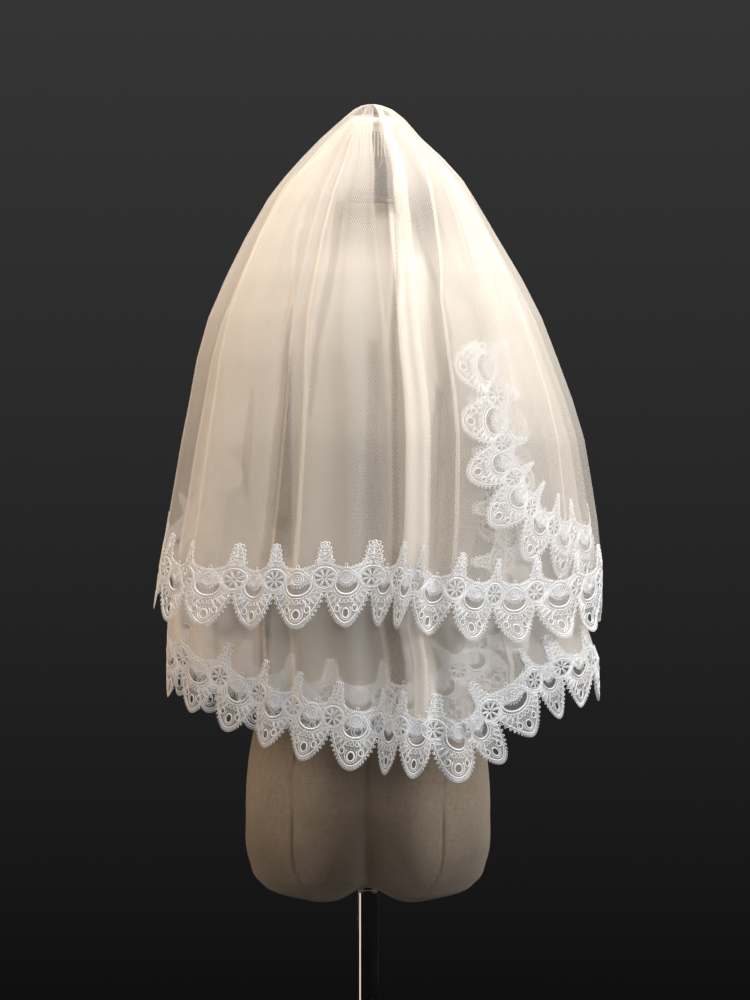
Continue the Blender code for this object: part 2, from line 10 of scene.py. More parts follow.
import bpy
import numpy as np
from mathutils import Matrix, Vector

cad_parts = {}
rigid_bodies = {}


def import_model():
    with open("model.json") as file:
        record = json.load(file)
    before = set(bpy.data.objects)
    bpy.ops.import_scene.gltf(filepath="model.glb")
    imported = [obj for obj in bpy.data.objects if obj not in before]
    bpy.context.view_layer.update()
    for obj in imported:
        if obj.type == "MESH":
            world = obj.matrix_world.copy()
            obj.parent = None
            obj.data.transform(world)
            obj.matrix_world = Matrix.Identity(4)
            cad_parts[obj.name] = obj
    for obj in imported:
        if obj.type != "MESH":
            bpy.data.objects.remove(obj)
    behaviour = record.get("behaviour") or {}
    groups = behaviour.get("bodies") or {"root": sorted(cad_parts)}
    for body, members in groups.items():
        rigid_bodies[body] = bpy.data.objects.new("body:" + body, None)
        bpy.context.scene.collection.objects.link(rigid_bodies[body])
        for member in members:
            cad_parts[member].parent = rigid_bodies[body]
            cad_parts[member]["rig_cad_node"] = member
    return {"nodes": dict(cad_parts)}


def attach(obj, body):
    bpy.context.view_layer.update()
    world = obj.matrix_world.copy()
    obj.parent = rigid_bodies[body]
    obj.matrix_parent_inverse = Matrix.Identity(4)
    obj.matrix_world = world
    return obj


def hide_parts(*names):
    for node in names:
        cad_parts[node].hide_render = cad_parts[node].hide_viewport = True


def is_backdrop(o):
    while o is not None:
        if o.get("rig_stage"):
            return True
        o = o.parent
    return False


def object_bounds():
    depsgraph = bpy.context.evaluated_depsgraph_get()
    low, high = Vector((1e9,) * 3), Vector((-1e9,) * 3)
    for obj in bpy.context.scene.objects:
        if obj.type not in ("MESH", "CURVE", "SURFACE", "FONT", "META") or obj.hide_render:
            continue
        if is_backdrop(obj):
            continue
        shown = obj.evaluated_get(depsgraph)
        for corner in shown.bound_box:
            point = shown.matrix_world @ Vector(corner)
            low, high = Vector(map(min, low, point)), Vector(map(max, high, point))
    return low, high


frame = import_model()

CAD_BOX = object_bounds()
print("frame", len(frame["nodes"]), "nodes, box", np.round(CAD_BOX, 3).tolist())

# %% [markdown]
# ## The camera
# The photograph was taken from behind the form, level, from a few metres away. A long lens at
# 3.6 m gives the same mild perspective. The sensor's long side stands upright here, so a picture
# 1.25 m high at the form's axis needs a lens of the sensor's 24 mm x 3.6 / 1.25.

# %% Stand the camera behind the form
PHOTO_HEIGHT = 1.25
CAMERA_AWAY, CAMERA_RIGHT, CAMERA_UP = 3.6, 0.00875, 1.134
lens = bpy.data.cameras.new("camera")
lens.sensor_width = 24
lens.lens = lens.sensor_width * CAMERA_AWAY / PHOTO_HEIGHT
camera = bpy.data.objects.new("camera", lens)
camera.location = (CAMERA_RIGHT, -CAMERA_AWAY, CAMERA_UP)
camera.rotation_euler = (np.pi / 2, 0, 0)
bpy.context.scene.collection.objects.link(camera)
bpy.context.scene.camera = camera
print("camera lens", round(lens.lens, 2), "mm")

# %% [markdown]
# ## Shader maths in plain Python
# Long chains of Math nodes are hard to read. A small class wraps a socket and lends it Python's
# operators, so that an expression such as 1 - mask adds its own nodes. Every other node comes
# from one method, which takes the node's type, its settings, and the values of its sockets.


# %% Wrap sockets and materials
class Value:
    """A socket that carries numbers. Its operators add Math nodes."""

    def __init__(self, finish, socket):
        self.finish, self.socket = finish, socket

    def maths(self, operation, *parts, clamp=False):
        """One Math node on values or plain numbers."""
        settings = {"operation": operation, "use_clamp": clamp}
        return self.finish.node("ShaderNodeMath", settings, dict(enumerate(parts)))

    def __add__(self, other):
        return self.maths("ADD", self, other)

    def __radd__(self, other):
        return self.maths("ADD", other, self)

    def __sub__(self, other):
        return self.maths("SUBTRACT", self, other)

    def __rsub__(self, other):
        return self.maths("SUBTRACT", other, self)

    def __mul__(self, other):
        return self.maths("MULTIPLY", self, other)

    def __rmul__(self, other):
        return self.maths("MULTIPLY", other, self)

    def wave(self):
        """A smooth wave from 0 to 1 and back, once for each whole number."""
        return 0.5 - self.maths("COSINE", self * (2 * np.pi)) * 0.5

    def clamped(self):
        """The value, held between 0 and 1."""
        return self.maths("ADD", self, 0.0, clamp=True)

    def step(self, low, high):
        """0 below low, 1 above high, and a soft slope between."""
        values = {"Value": self, "From Min": low, "From Max": high}
        return self.finish.node("ShaderNodeMapRange", {"interpolation_type": "SMOOTHSTEP"}, values)


class Finish:
    """A material's node tree, with one method that adds any node."""

    def __init__(self, name):
        self.material = bpy.data.materials.new(name)
        self.material.use_nodes = True
        self.tree = self.material.node_tree
        self.tree.nodes.clear()

    def node(self, kind, settings=None, values=None, output=0):
        """Settings come first, a ramp's stops among them, then the sockets' values or links."""
        made = self.tree.nodes.new(kind)
        for word, setting in (settings or {}).items():
            if word == "stops":
                ramp = made.color_ramp
                while len(ramp.elements) < len(setting):
                    ramp.elements.new(0.5)
                for element, (place, colour) in zip(ramp.elements, setting):
                    element.position, element.color = place, (*colour, 1)
            else:
                setattr(made, word, setting)
        for key, value in (values or {}).items():
            if isinstance(value, Value):
                self.tree.links.new(value.socket, made.inputs[key])
            else:
                made.inputs[key].default_value = value
        return Value(self, made.outputs[output])

    def object_place(self):
        """The object's own coordinates, in metres."""
        return self.node("ShaderNodeTexCoord", output="Object")

    def cloth_place(self):
        """The piece's own UV map, which follows its surface."""
        return self.node("ShaderNodeUVMap", {"uv_map": "cloth"})

    def split(self, vector):
        """The three numbers of a vector."""
        made = self.node("ShaderNodeSeparateXYZ", values={0: vector})
        return [Value(self, socket) for socket in made.socket.node.outputs]

    def attribute(self, name):
        """A number that the piece's mesh carries at each point."""
        return self.node("ShaderNodeAttribute", {"attribute_name": name}, output="Fac")

    def noise(self, vector, scale, detail=2.0):
        values = {"Vector": vector, "Scale": scale, "Detail": detail}
        return self.node("ShaderNodeTexNoise", None, values)

    def stretched(self, vector, scale):
        return self.node("ShaderNodeMapping", None, {"Vector": vector, "Scale": scale})

    def grain(self, scale, fineness=1.0, detail=2.0):
        """Noise in the object's own place, stretched by a scale for each axis."""
        return self.noise(self.stretched(self.object_place(), scale), fineness, detail)

    def net(self, across, down):
        """Two slanted waves multiplied: threads that cross so many times in each UV unit."""
        along, fall, _ = self.split(self.cloth_place())
        return (along * across + fall * down).wave() * (along * across - fall * down).wave()

    def blend(self, share, first, second):
        """The first colour where the share is 0, and the second where it is 1."""
        colours = [(*c, 1) if isinstance(c, tuple) else c for c in (first, second)]
        values = {0: share, 6: colours[0], 7: colours[1]}
        return self.node("ShaderNodeMix", {"data_type": "RGBA"}, values, output=2)

    def bump(self, height, distance, strength=1.0):
        values = {"Height": height, "Distance": distance, "Strength": strength}
        return self.node("ShaderNodeBump", None, values)

    def principled(self, **values):
        sockets = {word.replace("_", " "): value for word, value in values.items()}
        return self.node("ShaderNodeBsdfPrincipled", None, sockets)

    def mixed(self, share, first, second):
        return self.node("ShaderNodeMixShader", None, {0: share, 1: first, 2: second})

    def glowing(self, share, thread, colour):
        """Thread that lets a share of the light behind it through."""
        through = self.node("ShaderNodeBsdfTranslucent", None, {"Color": colour})
        return self.mixed(share, thread, through)

    def thinned(self, share, cloth):
        """Cloth where the share is 1, and nothing where it is 0."""
        return self.mixed(share, self.node("ShaderNodeBsdfTransparent"), cloth)

    def done(self, shader):
        """Link the shader to the output, and hand the material over."""
        end = self.tree.nodes.new("ShaderNodeOutputMaterial")
        self.tree.links.new(shader.socket, end.inputs["Surface"])
        print("finish", self.material.name, len(self.tree.nodes), "nodes")
        return self.material


# %% [markdown]
# ## The tulle
# Bridal tulle is a knitted net of hexagons about a millimetre across. From a few steps away it
# reads as a soft haze that is denser where layers lie on each other. A piece of tulle could be
# made of real holes, but millions of them would only flicker. So the net is a pattern that thins
# the cloth, mixed with a Transparent shader, and part of the light passes on through it. It is
# drawn about three times coarser than the real net, which a picture of this size would lose. Each
# sheet carries its own "thread_share", so gathered cloth is less sheer.


# %% The tulle's finish
def tulle_finish():
    """Share of cloth = density x (a little less in the middle of each mesh of the net)."""
    f = Finish("soft_tulle")
    cloudy = f.noise(f.stretched(f.cloth_place(), (7, 1.6, 1)), 5.0)
    density = f.attribute("thread_share") * (0.80 + 0.25 * f.net(620, 360))
    share = (density * (0.90 + 0.20 * cloudy)).clamped()
    tint = f.blend(cloudy, (0.810, 0.7785, 0.7425), (0.90, 0.865, 0.825))
    thread = f.principled(Base_Color=tint, Roughness=0.75, Sheen_Weight=0.25, Sheen_Roughness=0.4)
    return f.done(f.thinned(share, f.glowing(0.40, thread, tint)))


tulle = tulle_finish()

# %% [markdown]
# ## The lace
# Corded lace has two parts: raised cords of twisted thread, and a fine ground of net between
# them. The cords are real geometry, so their finish only needs the twist of the thread, read
# from the cord's own UV map. The ground is a flat net, denser than the tulle.


# %% The lace's finishes
def cord_finish():
    """Twist = a slanted wave along and across the cord, as bump and as a slight shade."""
    f = Finish("lace_cord")
    along, across, _ = f.split(f.cloth_place())
    twist = (along * 900 + across).wave()
    patchy = f.noise(f.object_place(), 60.0)
    shade = (twist * 0.35 + patchy * 0.5).clamped()
    tint = f.blend(shade, (0.87, 0.89, 0.93), (0.96, 0.97, 1.0))
    thread = f.principled(
        Base_Color=tint, Roughness=0.55, Normal=f.bump(twist, 0.0002, 0.6),
        Sheen_Weight=0.3, Sheen_Roughness=0.35,
    )
    return f.done(f.glowing(0.18, thread, tint))


def ground_finish():
    """Share of thread = the ground's density x (0.72 to 1.17 by the net)."""
    f = Finish("lace_ground")
    net = f.net(520, 300)
    share = (f.attribute("thread_share") * (0.72 + 0.45 * net)).clamped()
    tint = f.blend(net, (0.85, 0.88, 0.94), (0.94, 0.97, 1.0))
    thread = f.principled(Base_Color=tint, Roughness=0.7, Sheen_Weight=0.2)
    return f.done(f.thinned(share, f.glowing(0.30, thread, tint)))


lace_cord = cord_finish()
lace_ground = ground_finish()

# %% [markdown]
# ## Linen, satin, wood, chrome and enamel
# The form's cover is an unbleached linen with slubs, a little soiled and rubbed near its seams
# and its lower rim. Shade is also painted into its colour: on that rim, in the crease over it, down
# the middle of the back, from the shoulders down to the waist and on its underside. The weave is
# two crossed waves in the cover's own UV map, so it follows the body. Satin is a smooth weave with
# a sharper shine across its threads, and light and shade are painted on its gathers. The cap and
# post are stained wood, the pole is chromed tube, and the base is sprayed with a slightly rough
# enamel.


# %% The linen's finish
def linen_finish():
    """Threads = crossed waves, each broken by noise that is stretched along the thread."""
    f = Finish("linen_weave")
    across, up, _ = f.split(f.cloth_place())
    warp = (across * 900).wave()
    weft = (up * 900).wave()
    slub_up = f.noise(f.stretched(f.cloth_place(), (900, 40, 1)), 1.0)
    slub_across = f.noise(f.stretched(f.cloth_place(), (40, 900, 1)), 1.0)
    threads = warp * slub_up + weft * slub_across
    cloudy = f.noise(f.object_place(), 9.0, 5.0)
    fine = f.noise(f.object_place(), 160.0, 3.0)
    lit = (threads * 0.55 + fine * 0.45).clamped()
    light = f.blend(lit, (0.142, 0.106, 0.075), (0.458, 0.385, 0.302))
    soiled = f.blend((cloudy.step(0.42, 0.66) * 0.35).clamped(), light, (0.135, 0.107, 0.078))
    # darker where the cover is worn, and where shade is painted on it: rim, crease, middle of the
    # back, below the shoulders and underside
    worn_and_shaded = f.blend((f.attribute("wear") * 0.85).clamped(), soiled, (0.050, 0.035, 0.023))
    bump = f.bump(threads + fine * 0.4, 0.0005, 0.7)
    return f.done(f.principled(Base_Color=worn_and_shaded, Roughness=0.92, Normal=bump, Sheen_Weight=0.15))


linen = linen_finish()


# %% The satin, wood, chrome, enamel and comb finishes
def satin_finish():
    """Gathers = a wave round the binding, read from its UV map, as bump and as painted light and
    shade in the colour.
    """
    f = Finish("ivory_satin")
    around, _, _ = f.split(f.cloth_place())
    gathers = (around * 60).wave()
    # painted light and shade: the gathers' crests lighter and their troughs darker
    tint = f.blend(gathers, (0.70, 0.64, 0.56), (0.90, 0.86, 0.80))
    bump = f.bump(gathers, 0.0004, 0.6)
    return f.done(f.principled(Base_Color=tint, Roughness=0.38, Normal=bump, Sheen_Weight=0.2))


def wood_finish():
    """Grain = noise stretched up the turned piece, with darker pores."""
    f = Finish("stained_wood")
    grain = f.grain((60, 60, 5), 2.0, 6.0)
    pores = f.grain((400, 400, 18)).step(0.55, 0.72)
    tint = f.blend(grain, (0.034, 0.024, 0.028), (0.082, 0.060, 0.066))
    dark = f.blend((pores * 0.6).clamped(), tint, (0.022, 0.016, 0.018))
    bump = f.bump(grain - pores * 0.5, 0.0003, 0.4)
    rough = 0.34 + 0.25 * grain
    return f.done(f.principled(Base_Color=dark, Roughness=rough, Normal=bump, Coat_Weight=0.2))


def chrome_finish():
    """Plating with faint smudges and fine draw marks along the tube."""
    f = Finish("chromed_steel")
    smudge = f.noise(f.object_place(), 18.0, 4.0)
    marks = f.grain((900, 900, 6))
    tint = f.blend(smudge, (0.58, 0.57, 0.57), (0.72, 0.71, 0.70))
    rough = 0.07 + 0.10 * smudge.step(0.45, 0.75) + 0.05 * marks
    return f.done(f.principled(Base_Color=tint, Metallic=1.0, Roughness=rough))


def enamel_finish():
    """Fine orange peel over a dark coat, dusty in patches."""
    f = Finish("dark_enamel")
    peel = f.noise(f.object_place(), 420.0, 2.0)
    dusty = f.noise(f.object_place(), 14.0, 5.0).step(0.40, 0.80)
    tint = f.blend((dusty * 0.5).clamped(), (0.032, 0.032, 0.034), (0.085, 0.082, 0.078))
    bump = f.bump(peel, 0.0002, 0.5)
    return f.done(f.principled(Base_Color=tint, Roughness=0.36 + 0.22 * dusty, Normal=bump))


def comb_finish():
    """Clear plastic, faintly clouded along the moulding's flow."""
    f = Finish("clear_plastic")
    flow = f.grain((30, 30, 140), detail=3.0)
    tint = f.blend(flow, (0.74, 0.71, 0.66), (0.88, 0.86, 0.82))
    rough = 0.14 + 0.12 * flow
    return f.done(f.principled(Base_Color=tint, Roughness=rough, Alpha=0.62, IOR=1.46))


satin = satin_finish()
wood = wood_finish()
chrome = chrome_finish()
enamel = enamel_finish()
comb_plastic = comb_finish()

# %% [markdown]
# ## Meshes from whole arrays
# Every new piece is a surface on a grid of points. One helper writes the arrays straight into a
# mesh, with its UV map and any attribute, and links the object at the origin, unturned.


# %% Put arrays into a mesh
def piece(name, points, quads, finish, uv=None, attributes=None):
    """A mesh object from points (n, 3) and quads (m, 4). The UV map and attributes are one row
    for each point."""
    points, quads = np.asarray(points, np.float32), np.asarray(quads, np.int32)
    mesh = bpy.data.meshes.new(name)
    mesh.vertices.add(len(points))
    mesh.vertices.foreach_set("co", points.ravel())
    mesh.loops.add(quads.size)
    mesh.loops.foreach_set("vertex_index", quads.ravel())
    mesh.polygons.add(len(quads))
    mesh.polygons.foreach_set("loop_start", np.arange(0, quads.size, 4, dtype=np.int32))
    mesh.polygons.foreach_set("use_smooth", np.ones(len(quads), bool))
    mesh.update(calc_edges=True)
    if uv is not None:
        layer = mesh.uv_layers.new(name="cloth")
        layer.uv.foreach_set("vector", np.asarray(uv, np.float32)[quads.ravel()].ravel())
    for word, values in (attributes or {}).items():
        made = mesh.attributes.new(word, "FLOAT", "POINT")
        made.data.foreach_set("value", np.asarray(values, np.float32).ravel())
    mesh.materials.append(finish)
    thing = bpy.data.objects.new(name, mesh)
    bpy.context.scene.collection.objects.link(thing)
    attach(thing, "root")
    print("piece", name, len(quads) * 2, "triangles")
    return thing


def grid_quads(rows, columns, closed=False):
    """Quads of a grid whose points run row by row. A closed grid joins its last column to its
    first."""
    row = np.arange(rows - 1)[:, None] * columns
    column = np.arange(columns if closed else columns - 1)[None]
    after = (column + 1) % columns
    corners = [row + column, row + after, row + columns + after, row + columns + column]
    return np.stack(corners, axis=-1).reshape(-1, 4)


# %% [markdown]
# ## The bell that the veil hangs in
# Gathered tulle falls from the comb in the shape of a bell. Its reach to the left, right, back
# and front is measured at each drop below the apex. The folds run from the comb to the hem, and
# wander in angle on the way. Each is a ridge or a trough with a soft bell-shaped section.

# %% Measured sizes of the bell and its folds
APEX_Z = 1.629
# drop, left, right, back, front
BELL = np.array([
    (0.003, 0.0090, 0.0190, 0.010, 0.009),
    (0.008, 0.0185, 0.0310, 0.021, 0.018),
    (0.020, 0.0325, 0.0460, 0.035, 0.030),
    (0.045, 0.0600, 0.0675, 0.055, 0.050),
    (0.070, 0.0840, 0.0950, 0.070, 0.065),
    (0.095, 0.1060, 0.1175, 0.085, 0.080),
    (0.120, 0.1250, 0.1325, 0.100, 0.095),
    (0.170, 0.1540, 0.1610, 0.122, 0.122),
    (0.220, 0.1790, 0.1900, 0.140, 0.145),
    (0.270, 0.2010, 0.2150, 0.153, 0.158),
    (0.320, 0.2150, 0.2340, 0.165, 0.170),
    (0.370, 0.2240, 0.2525, 0.175, 0.180),
    (0.420, 0.2340, 0.2675, 0.185, 0.187),
    (0.470, 0.2425, 0.2760, 0.192, 0.191),
    (0.520, 0.2510, 0.2840, 0.199, 0.194),
    (0.570, 0.2600, 0.2890, 0.205, 0.197),
    (0.640, 0.2700, 0.2885, 0.210, 0.199),
    (0.690, 0.2720, 0.3050, 0.211, 0.200),
    (0.900, 0.2720, 0.3080, 0.212, 0.200),
])
# drop, and the share of their full height that the folds have there
FOLD_GROWTH = ((0.004, 0.05, 0.12, 0.25, 0.45), (0.05, 0.22, 0.5, 0.8, 1.0))
# drop, and the share of its full distance inside the bell that an inner layer has there
LAYER_GROWTH = ((0.004, 0.05, 0.14, 0.25, 0.5), (0.24, 0.36, 0.65, 0.85, 1.0))
# angle at the comb, at mid drop and at the hem, height in mm, width on its left and right
FOLDS = np.array([
    (-150, -150, -150, 3.0, 6.0, 6.0),
    (-138, -138, -138, -4.0, 5.0, 5.0),
    (-126, -125, -124, 3.5, 5.0, 5.0),
    (-113, -112, -111, -3.5, 5.0, 4.0),
    (-103, -101, -100, 3.5, 4.5, 5.0),
    (-92, -89, -88, -3.5, 5.0, 5.0),
    (-78, -74, -73, 3.0, 5.0, 5.0),
    (-62, -56, -54, 4.0, 5.0, 5.0),
    (-36, -32, -34, -4.5, 2.6, 2.2),
    (-28.5, -27.6, -28.6, 3.0, 2.0, 1.8),
    (-23.5, -24.8, -24, -3.5, 1.8, 1.4),
    (-19, -21.5, -20.5, 3.5, 1.4, 6.0),
    (-9.5, -9.6, -7.5, 3.5, 3.5, 3.0),
    (-0.6, -0.4, -2.0, -4.0, 3.0, 3.0),
    (10, 8.0, 5.5, 6.5, 1.7, 2.4),
    (20, 12.7, 10.5, 4.5, 2.0, 1.5),
    (30, 19.5, 14, -5.0, 1.7, 2.0),
    (42, 24, 18.2, 3.5, 2.0, 3.6),
    (56, 36, 29, -2.5, 4.0, 4.0),
    (68, 46, 38, 3.5, 4.0, 4.5),
    (78, 61, 55, 2.5, 5.0, 5.0),
    (88, 73, 68, -3.5, 5.0, 4.5),
    (97, 85, 81, 3.5, 5.0, 5.0),
    (106, 97, 94, -4.0, 5.0, 5.0),
    (115, 108, 106, 3.0, 5.0, 5.0),
    (126, 122, 120, -3.5, 5.0, 5.0),
    (138, 136, 135, 3.5, 6.0, 6.0),
    (152, 151, 150, -3.0, 6.0, 6.0),
])
print("bell", len(BELL), "levels,", len(FOLDS), "folds")


# %% The bell as a function of angle and drop
COMB_DROP, MID_DROP, HEM_DROP = 0.04, 0.255, 0.60


def hump(x, middle, half, power=2):
    """A bell-shaped hump of height 1 = e to the minus ((x - middle) / half) ^ power."""
    return np.exp(-(((x - middle) / half) ** power))


def unit(vectors):
    """The same directions, one long."""
    return vectors / np.linalg.norm(vectors, axis=-1, keepdims=True)


def run_along(line):
    """Length walked at each point of a line, from its first."""
    return np.append(0, np.cumsum(np.linalg.norm(np.diff(line, axis=0), axis=1)))


def turned_angle(hem_angle, drop):
    """Plan angle of a strand = its hem angle, drifting to its mid and comb angles as it rises."""
    knots = np.vstack([[[-180.0] * 3], FOLDS[:, :3], [[180.0] * 3]])
    top, middle, hem = (np.interp(hem_angle, knots[:, 2], knots[:, k]) for k in range(3))
    low = np.clip((drop - MID_DROP) / (HEM_DROP - MID_DROP), 0, 1)
    high = np.clip((drop - COMB_DROP) / (MID_DROP - COMB_DROP), 0, 1)
    return np.where(drop < MID_DROP, top + (middle - top) * high, middle + (hem - middle) * low)


def bell_point(hem_angle, drop):
    """x = shift + half width x sin(angle), y = -depth x cos(angle), z = apex - drop."""
    left, right, back, front = (np.interp(drop, BELL[:, 0], BELL[:, k]) for k in range(1, 5))
    angle = np.radians(turned_angle(hem_angle, drop))
    half, shift = (left + right) / 2, (right - left) / 2
    depth = np.where(np.cos(angle) > 0, back, front)
    return np.stack([shift + half * np.sin(angle), -depth * np.cos(angle), APEX_Z - drop], axis=-1)


def bell_normal(hem_angle, drop):
    """Unit cross product of the bell's steps down and across."""
    across = bell_point(hem_angle + 0.8, drop) - bell_point(hem_angle - 0.8, drop)
    down = bell_point(hem_angle, drop + 0.004) - bell_point(hem_angle, drop - 0.001)
    return unit(np.cross(down, across))


def fold_height(hem_angle, drop):
    """Sum of the folds' bell-shaped sections, growing from the comb to the hem."""
    total = np.zeros(np.broadcast(hem_angle, drop).shape)
    for *_, hem, height, left, right in FOLDS[:, 1:]:
        width = np.where(hem_angle < hem, left, right)
        total = total + height * 0.001 * hump(hem_angle, hem, width)
    return total * np.interp(drop, *FOLD_GROWTH)


# %% [markdown]
# ## The tiers laid out flat
# A tier is cut as an oval, with rounded corners, and lace is sewn along its front edges and hem.
# So every point of cloth and lace is first placed on the flat tier: c runs along the hem and d
# down from the comb, both in metres. A table then says at which angle each c hangs, and how far
# inside the bell. Where the angle turns back, the cloth is folded under itself.

# %% Where each tier goes round the bell
# angle, distance inside the bell in mm, drop of the scallop tips there
UPPER_WAY = [
    (-136, 0, 0.600), (-118, 0, 0.605), (-90, 0, 0.622), (-60, 0, 0.645), (-30, 0, 0.648),
    (0, 0, 0.641), (15, 0, 0.655), (30, 0, 0.665), (60, 0, 0.659), (90, 0, 0.645),
    (116, 0, 0.622), (118.5, 1.5, 0.620), (119.5, 5, 0.618), (118.5, 8.5, 0.616),
    (116, 10, 0.614), (90, 10, 0.600), (60, 10, 0.590), (42, 10, 0.587), (20, 10, 0.583),
]
LOWER_WAY = [
    (150, 20, 0.690), (134, 20, 0.700), (120, 20, 0.715), (90, 20, 0.742), (60, 20, 0.747),
    (45, 20, 0.766), (38, 20, 0.784), (31, 20, 0.812), (23, 20, 0.831), (15, 20, 0.826),
    (-4, 20, 0.816), (-15, 20, 0.808), (-28, 20, 0.793), (-40, 20, 0.776), (-60, 20, 0.748),
    (-90, 20, 0.726), (-122, 20, 0.702), (-124.5, 21.5, 0.700), (-125.5, 25, 0.699),
    (-124.5, 28.5, 0.698), (-122, 30, 0.698), (-90, 30, 0.720), (-60, 30, 0.742),
    (-24, 30, 0.782), (3, 30, 0.786), (50, 30, 0.744),
]
CORNER_RADIUS = 0.170
LACE_FROM_DROP = 0.300
LACE_DEPTH = 0.075
LACE_PITCH = 0.0625


# %% A tier, from its flat cut to its place in the air
def smoothed(values, reach):
    """Weighted mean of each value and its neighbours on both sides, up to a reach."""
    kernel = np.hanning(2 * reach + 1)
    return np.convolve(np.pad(values, reach, mode="edge"), kernel / kernel.sum(), mode="valid")


def read_off(at, along, columns):
    """Both columns of a table, read off at some places along it."""
    return np.stack([np.interp(at, along, columns[:, k]) for k in range(2)], axis=-1)


class Tier:
    """Flat cloth (c, d) -> angle and distance inside, from the table -> a point off the bell."""

    def __init__(self, way, top_drop):
        table = np.array(way, float) * (1, 0.001, 1)
        rows = np.arange(len(table))
        at = np.linspace(0, len(table) - 1, 24 * (len(table) - 1) + 1)
        self.angle, self.inside, tips = (np.interp(at, rows, table[:, k]) for k in range(3))
        line = self.place(self.angle, self.inside, np.full(at.shape, 0.60))
        self.c = run_along(line)
        self.length, self.top_drop = self.c[-1], top_drop
        self.even = np.linspace(0, self.length, 1200)
        self.tips = smoothed(np.interp(self.even, self.c, tips), 30)
        ahead = np.sign(np.diff(self.angle))
        self.turn = int(np.where(ahead != ahead[0])[0][0])
        self.fold_c = self.c[self.turn]
        self.way = ahead[0]
        self.edge = self.edge_line()

    def place(self, angle, inside, drop):
        """Bell's point + its normal x (height of the folds - distance inside)."""
        out = fold_height(angle, drop) - inside * np.interp(drop, *LAYER_GROWTH)
        return bell_point(angle, drop) + bell_normal(angle, drop) * out[..., None]

    def at(self, c, d, lift=0.0):
        """The cloth's point, lifted out of its place by a pleat or by the lace's own height."""
        c, d, lift = np.broadcast_arrays(c, np.asarray(d, float), lift)
        angle, inside = np.interp(c, self.c, self.angle), np.interp(c, self.c, self.inside)
        return self.place(angle, inside - lift, d)

    def hem_angle(self, c):
        """The angle at which a place along the tier hangs at the hem."""
        return np.interp(c, self.c, self.angle)

    def outer_c(self, angle):
        """Where the outer layer reaches an angle."""
        angles, c = self.angle[:self.turn + 1], self.c[:self.turn + 1]
        return np.interp(angle, angles[::int(self.way)], c[::int(self.way)])

    def tip_drop(self, c):
        """Drop of the scallop tips at a place along the tier."""
        return np.interp(c, self.even, self.tips)

    def edge_line(self):
        """The scallop tips' line: down one front edge, round its corner, along the hem, round
        the other corner and up the last edge, in even steps with inward normals."""
        r, top = CORNER_RADIUS, LACE_FROM_DROP
        turn, share = np.radians(np.linspace(0, 90, 40)), np.linspace(0, 1, 60)
        first_side = top + share * (self.tip_drop(r * 0.3) - r - top)
        begin = r - r * np.cos(turn)
        first_corner = np.column_stack([begin, self.tip_drop(begin) - r + r * np.sin(turn)])
        along = np.linspace(r, self.length - r, 900)[1:-1]
        end = self.length - r + r * np.sin(turn)
        last_corner = np.column_stack([end, self.tip_drop(end) - r + r * np.cos(turn)])
        last_side = top + share[::-1] * (last_corner[-1, 1] - top)
        line = np.vstack([
            np.column_stack([np.zeros(60), first_side])[:-1], first_corner,
            np.column_stack([along, self.tip_drop(along)]), last_corner,
            np.column_stack([np.full(60, self.length), last_side])[1:],
        ])
        run = run_along(line)
        even = np.linspace(0, run[-1], 1600)
        line = read_off(even, run, line)
        steps = np.gradient(line, axis=0).T
        way = unit(np.column_stack([smoothed(column, 15) for column in steps]))
        inward = np.column_stack([way[:, 1], -way[:, 0]])
        return {"run": even, "line": line, "inward": inward, "length": run[-1]}

    def on_edge(self, run, depth):
        """Flat point = the tips' line at run + its inward normal x depth."""
        run, depth = np.broadcast_arrays(run, depth)
        base, normal = (read_off(run, self.edge["run"], self.edge[k]) for k in ("line", "inward"))
        return base + unit(normal) * depth[..., None]


upper = Tier(UPPER_WAY, 0.0035)
lower = Tier(LOWER_WAY, 0.0120)
print("upper tier", round(upper.length, 3), "m, lower", round(lower.length, 3), "m along the hem")

# %% [markdown]
# ## Pleats
# Besides its soft folds, the cloth has knife pleats: it doubles back under itself and comes
# forward again, so three layers lie flat on each other and catch more light, with a sharp edge
# on the left. A pleat is a stretch of the walk across the cloth that goes forward, back and
# forward again, each time a little further out.

# %% The pleats, and the walk across a tier
# left edge, right edge (hem angles), height in mm
UPPER_PLEATS = [
    (-55.0, -54.0, 0.6), (-21.6, -20.4, 1.0), (5.2, 11.6, 1.6), (17.4, 18.4, 0.8),
    (54.0, 55.0, 0.6),
]
LOWER_PLEATS = [(-31.0, -30.0, 0.6), (8.0, 11.4, 1.2), (34.0, 35.2, 0.6)]


def walk(tier, pleats, start, stop, step):
    """Columns in the order of the cloth: place along the tier, lift, and cloth length so far."""
    points = [(start, 0.0)]
    tail, bulge = tier.way * 0.014, tier.way * 0.0005
    for near, far, height in (pleats if tier.way > 0 else pleats[::-1]):
        a, b, h = tier.outer_c(near), tier.outer_c(far), height * 0.001
        turn = [
            (b, 0), (b + bulge, h / 4), (b, h / 2), (a, h / 2), (a - bulge, h * 3 / 4), (a, h),
            (b, h), (b + tail, 0),
        ]
        points += turn if tier.way > 0 else turn[::-1]
    points.append((stop, 0.0))
    points = np.array(points)
    run = run_along(points)
    even = np.unique(np.concatenate([np.arange(0, run[-1], step), run]))
    return np.interp(even, run, points[:, 0]), np.interp(even, run, points[:, 1]), even


def pleat_lift(tier, pleats, c):
    """How far a pleat's top layer lifts what lies on it."""
    angle, total = tier.hem_angle(c), np.zeros(np.shape(c))
    for near, far, height in pleats:
        slope = np.interp(angle, (near - 1.4, near, far, far + 3.2), (0, height, height, 0))
        total = np.maximum(total, slope)
    return np.where(c < tier.fold_c, total * 0.001, 0.0)


# %% [markdown]
# ## How dense the cloth looks
# The photograph shows bright and dim strips that run with the folds, where more or fewer threads
# stand one behind another. A table gives the density at each hem angle, and lines of more or
# fewer threads are drawn along single folds. All of it grows from the comb to the shoulders and
# thins toward the hem.

